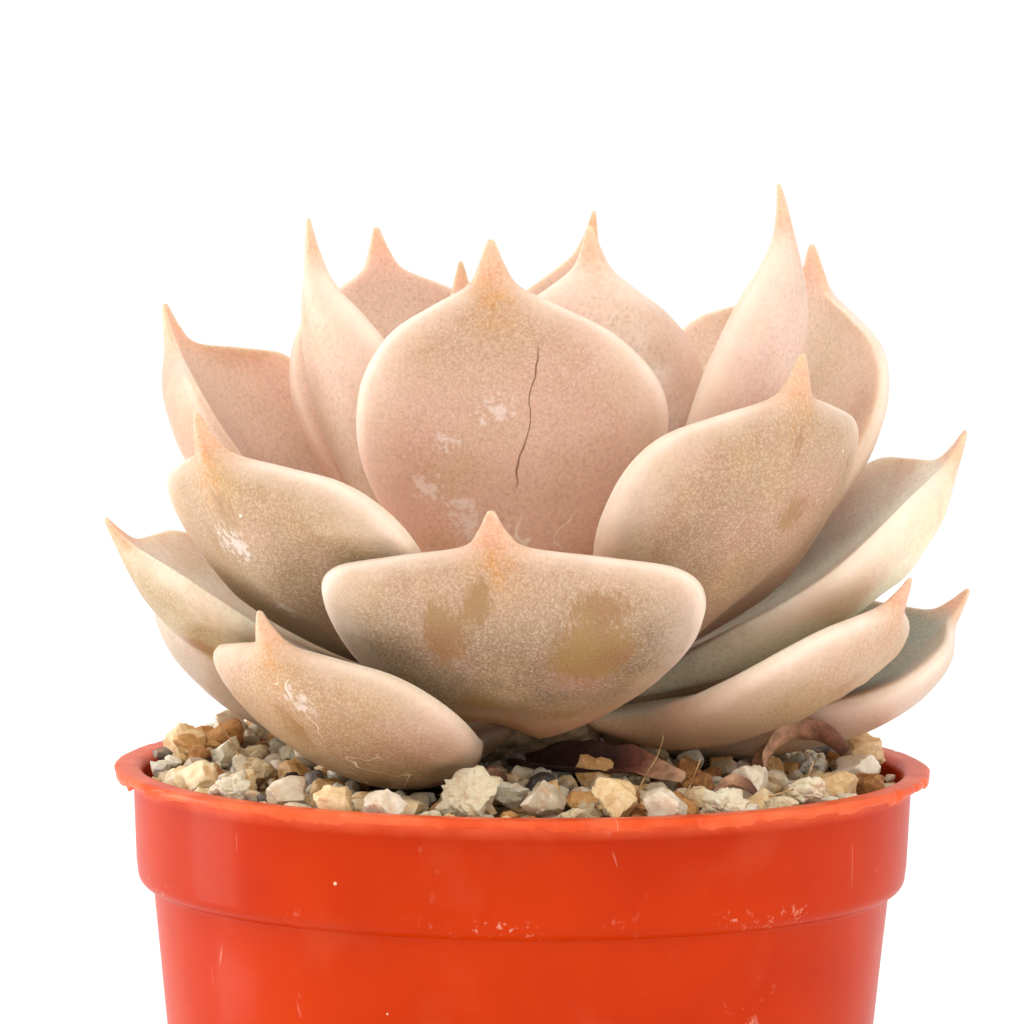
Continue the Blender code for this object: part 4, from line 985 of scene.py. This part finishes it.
withered = withered_tissue()
for seed, dry in enumerate(DRY_LEAVES):
    points, faces, length = dry_leaf_mesh(dry, seed)
    papery = [0.0 if dry.stands_for == "dead_leaf_front" else 1.0] * len(points)
    piece = new_piece(dry.name, points, faces, withered, {"along": length, "papery": papery})
    if dry.stands_for:
        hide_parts(dry.stands_for)

# Dry root hairs about 0.2 mm thick: (points in mm from the stem at the soil's edge)
ROOT_HAIRS = (
    ((10.6, -26.0, 2.2), (11.6, -25.6, 4.6), (13.2, -25.0, 6.8), (13.6, -24.6, 8.8)),
    ((16.0, -27.0, 2.4), (16.8, -26.8, 4.6), (17.6, -26.6, 6.6)),
    ((-32.4, -15.0, 5.0), (-33.2, -15.0, 6.8), (-34.8, -15.0, 9.0)),
    ((25.0, -27.0, 2.6), (28.0, -25.6, 3.4), (31.0, -23.0, 3.8)),
    ((28.6, -24.0, 3.0), (29.4, -24.4, 4.8), (29.8, -24.4, 6.2)),
    ((-20.0, -33.0, 2.8), (-17.0, -34.0, 3.6), (-14.0, -36.4, 3.2)),
)


def dried_fibre():
    """Dried root hair: smooth straw-coloured fibre with a faint shine."""
    material, tree, shader, place = new_material("dried_root_fibre", Roughness=0.5, IOR=1.5)
    patches = add(tree, "TexNoise", {"Vector": place, "Scale": 1 / (2 * MM), "Detail": 3.0})
    colour = add(tree, "ValToRGB", {"Fac": patches}, stops=((0.35, "#8a6238"), (0.65, "#d8b27c")))
    join(tree, shader, {"Base Color": colour})
    return material


fibre = dried_fibre()
for number, hair in enumerate(ROOT_HAIRS, 1):
    curve = bpy.data.curves.new(f"root_hair_{number}", "CURVE")
    curve.dimensions = "3D"
    curve.bevel_depth = 0.10 * MM
    curve.bevel_resolution = 3
    curve.use_fill_caps = True
    spline = curve.splines.new("NURBS")
    spline.points.add(len(hair) - 1)
    for i, point in enumerate(hair):
        spline.points[i].co = (*(STEM_FOOT + Vector(point) * MM), 1.0)
        spline.points[i].radius = 1.2 - 0.8 * i / (len(hair) - 1)
    spline.use_endpoint_u = True
    spline.order_u = 3
    curve.materials.append(fibre)
    piece = bpy.data.objects.new(f"root_hair_{number}", curve)
    bpy.context.scene.collection.objects.link(piece)
    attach(piece, "root")


# ---- Stones and grit ---------------------------------------------------------------------------------
# A top dressing of crushed, part-worn grit, 1 to 8 mm across, scattered by hand and watered in.
# It is a mix of grey quartz, white pumice, cream feldspar, rusty sandstone and a little black basalt.

rng = random.Random(11)
spheres = {}


def unit_sphere(subdivisions):
    """Points and faces of a round mesh, made once for each fineness."""
    if subdivisions not in spheres:
        shape = bmesh.new()
        bmesh.ops.create_icosphere(shape, subdivisions=subdivisions, radius=1.0)
        spheres[subdivisions] = ([v.co.copy() for v in shape.verts],
                                 [[v.index for v in face.verts] for face in shape.faces])
        shape.free()
    return spheres[subdivisions]


def stone_mesh(place, half, subdivisions, facets, lumps, pits):
    """A broken stone: a ball cut by random planes, then lumped and pitted. half: half-sizes."""
    directions, faces = unit_sphere(subdivisions)
    planes = [(Vector([rng.gauss(0, 1) for _ in range(3)]).normalized(), rng.uniform(0.40, 0.80))
              for _ in range(facets)]
    seed = Vector([rng.uniform(0, 90) for _ in range(3)])
    grown = []
    for direction in directions:
        point = direction.copy()
        for normal, distance in planes:
            over = point.dot(normal) - distance
            if over > 0:
                point *= distance / point.dot(normal)
        swell = lumps * noise.noise(direction * 1.7 + seed)
        grown.append(point * (1 + swell + pits * noise.noise(direction * 5.5 + seed)))
    low = Vector([min(p[a] for p in grown) for a in range(3)])
    high = Vector([max(p[a] for p in grown) for a in range(3)])
    middle, span = (low + high) / 2, (high - low) / 2
    fitted = [place + Vector([(p[a] - middle[a]) / span[a] * half[a] for a in range(3)]) for p in grown]
    return fitted, faces


def stone_material(name, colours, grain_mm, roughness, depth_mm, glow, dark_share):
    """Stone: colours that vary from grain to grain and inside each, and broken faces, rough or glassy."""
    material, tree, shader, place = new_material(
        name, Roughness=roughness, IOR=1.54, Subsurface_Weight=glow, Subsurface_Radius=(1.0, 0.8, 0.6),
        Subsurface_Scale=1.0 * MM)
    tone = add(tree, "Attribute", attribute_name="tone").outputs["Fac"]
    mottle = cloud(tree, place, grain_mm, 0.28, 0.72, 0.62, 6.0, 0.68)
    level = add(tree, "Math", {0: mottle, 1: 0.31}, operation="SUBTRACT")
    level = add(tree, "Math", {0: level, 1: tone}, operation="ADD")
    colour = lay_over(tree, add(tree, "ValToRGB", {"Fac": level}, stops=colours),
                      (cloud(tree, place, 1.6, 0.56, 0.70, 0.55, 5.0, 0.6), "#d9a263"),
                      (cloud(tree, place, 0.5, 0.62, 0.70, dark_share), "#5a4a3c"))
    bump = add(tree, "Bump", {"Height": mottle, "Distance": depth_mm * MM, "Strength": 0.9})
    join(tree, shader, {"Base Color": colour, "Normal": bump})
    return material


# kind: (material, share of the grains, facets, lumps, pits)
STONE_KINDS = {
    "quartz": (
        stone_material("grey_quartz", (
            (0.0, "#b4a286"), (0.35, "#d4c3a6"), (0.7, "#ecdfc8"), (1.0, "#faf2e4")),
            1.5, 0.30, 0.12, 0.45, 0.15),
        0.24, 13, 0.12, 0.05),
    "pumice": (
        stone_material("white_pumice", (
            (0.0, "#dcc092"), (0.3, "#f6e2ba"), (0.7, "#fff2d4"), (1.0, "#fffaee")),
            0.6, 0.85, 0.45, 0.25, 0.30),
        0.26, 9, 0.34, 0.22),
    "feldspar": (
        stone_material("cream_feldspar", (
            (0.0, "#c9965a"), (0.35, "#e9c48c"), (0.7, "#f8e0b4"), (1.0, "#fff2d8")),
            1.1, 0.5, 0.2, 0.3, 0.2),
        0.26, 12, 0.20, 0.07),
    "sandstone": (
        stone_material("rusty_sandstone", (
            (0.0, "#7e4f2c"), (0.35, "#ba7f42"), (0.7, "#dba765"), (1.0, "#f0d098")),
            0.8, 0.8, 0.25, 0.1, 0.4),
        0.19, 10, 0.24, 0.10),
    "basalt": (
        stone_material("dark_basalt", (
            (0.0, "#3a3632"), (0.4, "#5a534b"), (0.8, "#7e756a"), (1.0, "#9c9182")),
            0.8, 0.5, 0.15, 0.0, 0.2),
        0.03, 12, 0.12, 0.04),
}
STONE_SHARP = math.radians(28)
BIG_STONE_SWELL = 1.12
BIG_STONES = ("pumice", "quartz", "feldspar", "quartz", "pumice", "quartz", "pumice", "quartz",
              "feldspar", "feldspar", "pumice", "feldspar", "quartz", "feldspar", "quartz", "quartz",
              "feldspar", "pumice")
LOWEST_LEAVES = 8
leaves_above = joined_tree([bpy.data.objects[f"living_leaf_{i + 1:02d}"].data for i in range(LOWEST_LEAVES)])

taken = []
for number, kind in enumerate(BIG_STONES, 1):
    low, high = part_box(f"stone_{number:02d}")
    material, _, facets, lumps, pits = STONE_KINDS[kind]
    half = (high - low) / 2 * BIG_STONE_SWELL
    points, faces = stone_mesh((low + high) / 2, half, 4, facets + 3, lumps, pits)
    tone = rng.uniform(0.4, 0.75)
    piece = new_piece(f"{kind}_stone_{number:02d}", points, faces, material,
                      {"tone": [tone] * len(points)}, STONE_SHARP)
    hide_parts(f"stone_{number:02d}")
    taken.append(((low.x + high.x) / 2, (low.y + high.y) / 2, (high.x - low.x) * 0.46))

HEAPS = ((-112, 2.6 * MM, 34), (112, 1.2 * MM, 28), (178, 1.0 * MM, 30))


def heap(x, y):
    """Extra height where the grit was tipped against the wall: (middle in degrees, height, spread)."""
    azimuth = math.degrees(math.atan2(x, -y))
    near_wall = smooth(24 * MM, 38 * MM, math.hypot(x, y))
    extra = 0.0
    for middle, height, spread in HEAPS:
        away = abs((azimuth - middle + 180) % 360 - 180)
        extra = max(extra, height * near_wall * (1 - smooth(0.3, 1.0, away / spread)))
    return extra


# A grain's half-sizes as shares of its size, the bare ring round the stem, and tries to find it a place
GRAIN_WIDTHS = (0.42, 0.56)
GRAIN_HEIGHTS = (0.34, 0.5)
STEM_RING = 9 * MM
TRIES = 30
grains = {kind: ([], [], []) for kind in STONE_KINDS}
kinds = list(STONE_KINDS)
shares = [STONE_KINDS[kind][1] for kind in kinds]


def scatter(count, smallest, largest, sink, subdivisions, spacing):
    """Drops grains where there is room, the big ones first. sink: share of the size that is in the soil."""
    wall = inner_radius(SOIL_EDGE)
    for i in range(count):
        size = largest + (smallest - largest) * (i / count) ** 0.7
        for _ in range(TRIES):
            angle = rng.uniform(0, math.tau)
            reach = math.sqrt(rng.uniform((STEM_RING / wall) ** 2, 1.0)) * (wall - size * 0.52)
            x, y = reach * math.cos(angle), reach * math.sin(angle)
            if all((x - a) ** 2 + (y - b) ** 2 > ((r + size * 0.5) * spacing) ** 2 for a, b, r in taken):
                break
        else:
            continue
        half = [size * rng.uniform(*GRAIN_WIDTHS) for _ in range(2)]
        half = Vector(half + [size * rng.uniform(*GRAIN_HEIGHTS)])
        z = soil_height(x, y) + heap(x, y) + half.z * (1 - 2 * sink)
        centre = Vector((x, y, z))
        found = leaves_above.find_nearest(centre)
        if found[3] < max(half) * 1.02 or math.hypot(x - STEM_AT.x, y) < STEM_RADIUS + size * 0.6:
            continue
        taken.append((x, y, size * 0.5))
        kind = rng.choices(kinds, shares)[0]
        _, _, facets, lumps, pits = STONE_KINDS[kind]
        points, faces = stone_mesh(centre, half, subdivisions, facets, lumps, pits)
        all_points, all_faces, tones = grains[kind]
        start = len(all_points)
        all_points += points
        all_faces += [[start + v for v in face] for face in faces]
        tones += [rng.uniform(0.15, 0.85)] * len(points)


scatter(210, 2.9 * MM, 4.8 * MM, 0.20, 3, 0.94)
scatter(420, 1.9 * MM, 3.0 * MM, 0.25, 2, 0.84)
taken.clear()
scatter(520, 1.0 * MM, 2.2 * MM, 0.30, 2, 0.8)
for kind in kinds:
    points, faces, tones = grains[kind]
    new_piece(f"{kind}_grit", points, faces, STONE_KINDS[kind][0], {"tone": tones},
              STONE_SHARP)


# ---- Floor, light and camera -------------------------------------------------------------------------
# A plain pale studio floor under a broad, soft overhead light, with pale panels round it. The strip low
# on the left leaves an upright sheen on the pot. A long lens looks in level with the leaves.

FLOOR_HALF = 14.0
FLOOR_CORNERS = [(x * FLOOR_HALF, y * FLOOR_HALF, 0.0) for x, y in ((-1, -1), (1, -1), (1, 1), (-1, 1))]
TARGET = (0.0, 0.0, RIM + 25 * MM)
# Panels as (name, place, what it faces, watts, colour, width, height)
PANELS = (
    ("window_panel", (-0.75, 0.27, 0.22), TARGET, 4.2, "#ffffff", 0.20, 0.9),
    ("low_strip", (-0.180, 0.014, 0.060), (0.0, -0.03, 0.060), 0.055, "#ffffff", 0.06, 0.10),
    ("low_fill", (0.1, -1.1, 0.14), TARGET, 1.3, "#fff9f2", 1.2, 0.2),
    ("far_panel", (0.8, -0.1, 0.25), TARGET, 2.0, "#ffffff", 0.25, 0.9),
)
CAMERA_AIM = Vector((-1.4 * MM, 0.0, RIM + 28.1 * MM))
CAMERA_BACK = 1.0
CAMERA_RISE = 0.1029
CAMERA_ROLL = math.radians(0.5)
CAMERA_LENS_MM = 321.3


def white_paper():
    """Matt white paper, very slightly uneven in tone."""
    material, tree, shader, place = new_material("white_paper_floor", Roughness=0.9, IOR=1.4)
    tone = add(tree, "TexNoise", {"Vector": place, "Scale": 3.0, "Detail": 2.0})
    colour = add(tree, "ValToRGB", {"Fac": tone}, stops=((0.3, "#f6f6f6"), (0.7, "#fafafa")))
    join(tree, shader, {"Base Color": colour})
    return material


floor_mesh = bpy.data.meshes.new("studio_floor")
floor_mesh.from_pydata(FLOOR_CORNERS, [], [(0, 1, 2, 3)])
floor_mesh.materials.append(white_paper())
floor = bpy.data.objects.new("studio_floor", floor_mesh)
bpy.context.scene.collection.objects.link(floor)

# The air is pale all round, and brighter towards the back
world = bpy.data.worlds.new("studio_air")
world.use_nodes = True
air = world.node_tree
toward = add(air, "SeparateXYZ", {"Vector": add(air, "TexCoord").outputs["Generated"]})
level = add(air, "MapRange", {"Value": toward.outputs["Y"], "From Min": -0.9, "From Max": 0.1,
                              "To Min": 0.56, "To Max": 0.88})
join(air, air.nodes["Background"], {"Strength": level, "Color": "#ffffff"})
bpy.context.scene.world = world


def lamp(name, kind, place, target, energy, colour, **settings):
    """A lamp that lights and reflects but isn't itself in the picture."""
    light = bpy.data.lights.new(name, kind)
    light.energy = energy
    light.color = linear(colour)[:3]
    for key, value in settings.items():
        setattr(light, key, value)
    obj = bpy.data.objects.new(name, light)
    obj.location = place
    obj.rotation_euler = (Vector(target) - Vector(place)).to_track_quat("-Z", "Y").to_euler()
    obj.visible_camera = False
    bpy.context.scene.collection.objects.link(obj)


lamp("overhead_softbox", "SUN", (-0.25, -0.9, 1.1), TARGET, 1.32, "#fffdfa", angle=math.radians(60))
for name, place, faced, watts, colour, width, height in PANELS:
    lamp(name, "AREA", place, faced, watts, colour, shape="RECTANGLE", size=width, size_y=height)

camera_data = bpy.data.cameras.new("camera")
camera_data.sensor_width = 36.0
camera_data.lens = CAMERA_LENS_MM
camera_data.clip_start = 0.01
camera_data.clip_end = 100.0
camera = bpy.data.objects.new("camera", camera_data)
camera.location = CAMERA_AIM + Vector((0.0, -CAMERA_BACK, CAMERA_RISE))
straight = (CAMERA_AIM - camera.location).to_track_quat("-Z", "Y").to_matrix()
camera.rotation_euler = (straight @ Matrix.Rotation(CAMERA_ROLL, 3, "Z")).to_euler()
bpy.context.scene.collection.objects.link(camera)
bpy.context.scene.camera = camera
bpy.context.scene.view_settings.view_transform = "Standard"
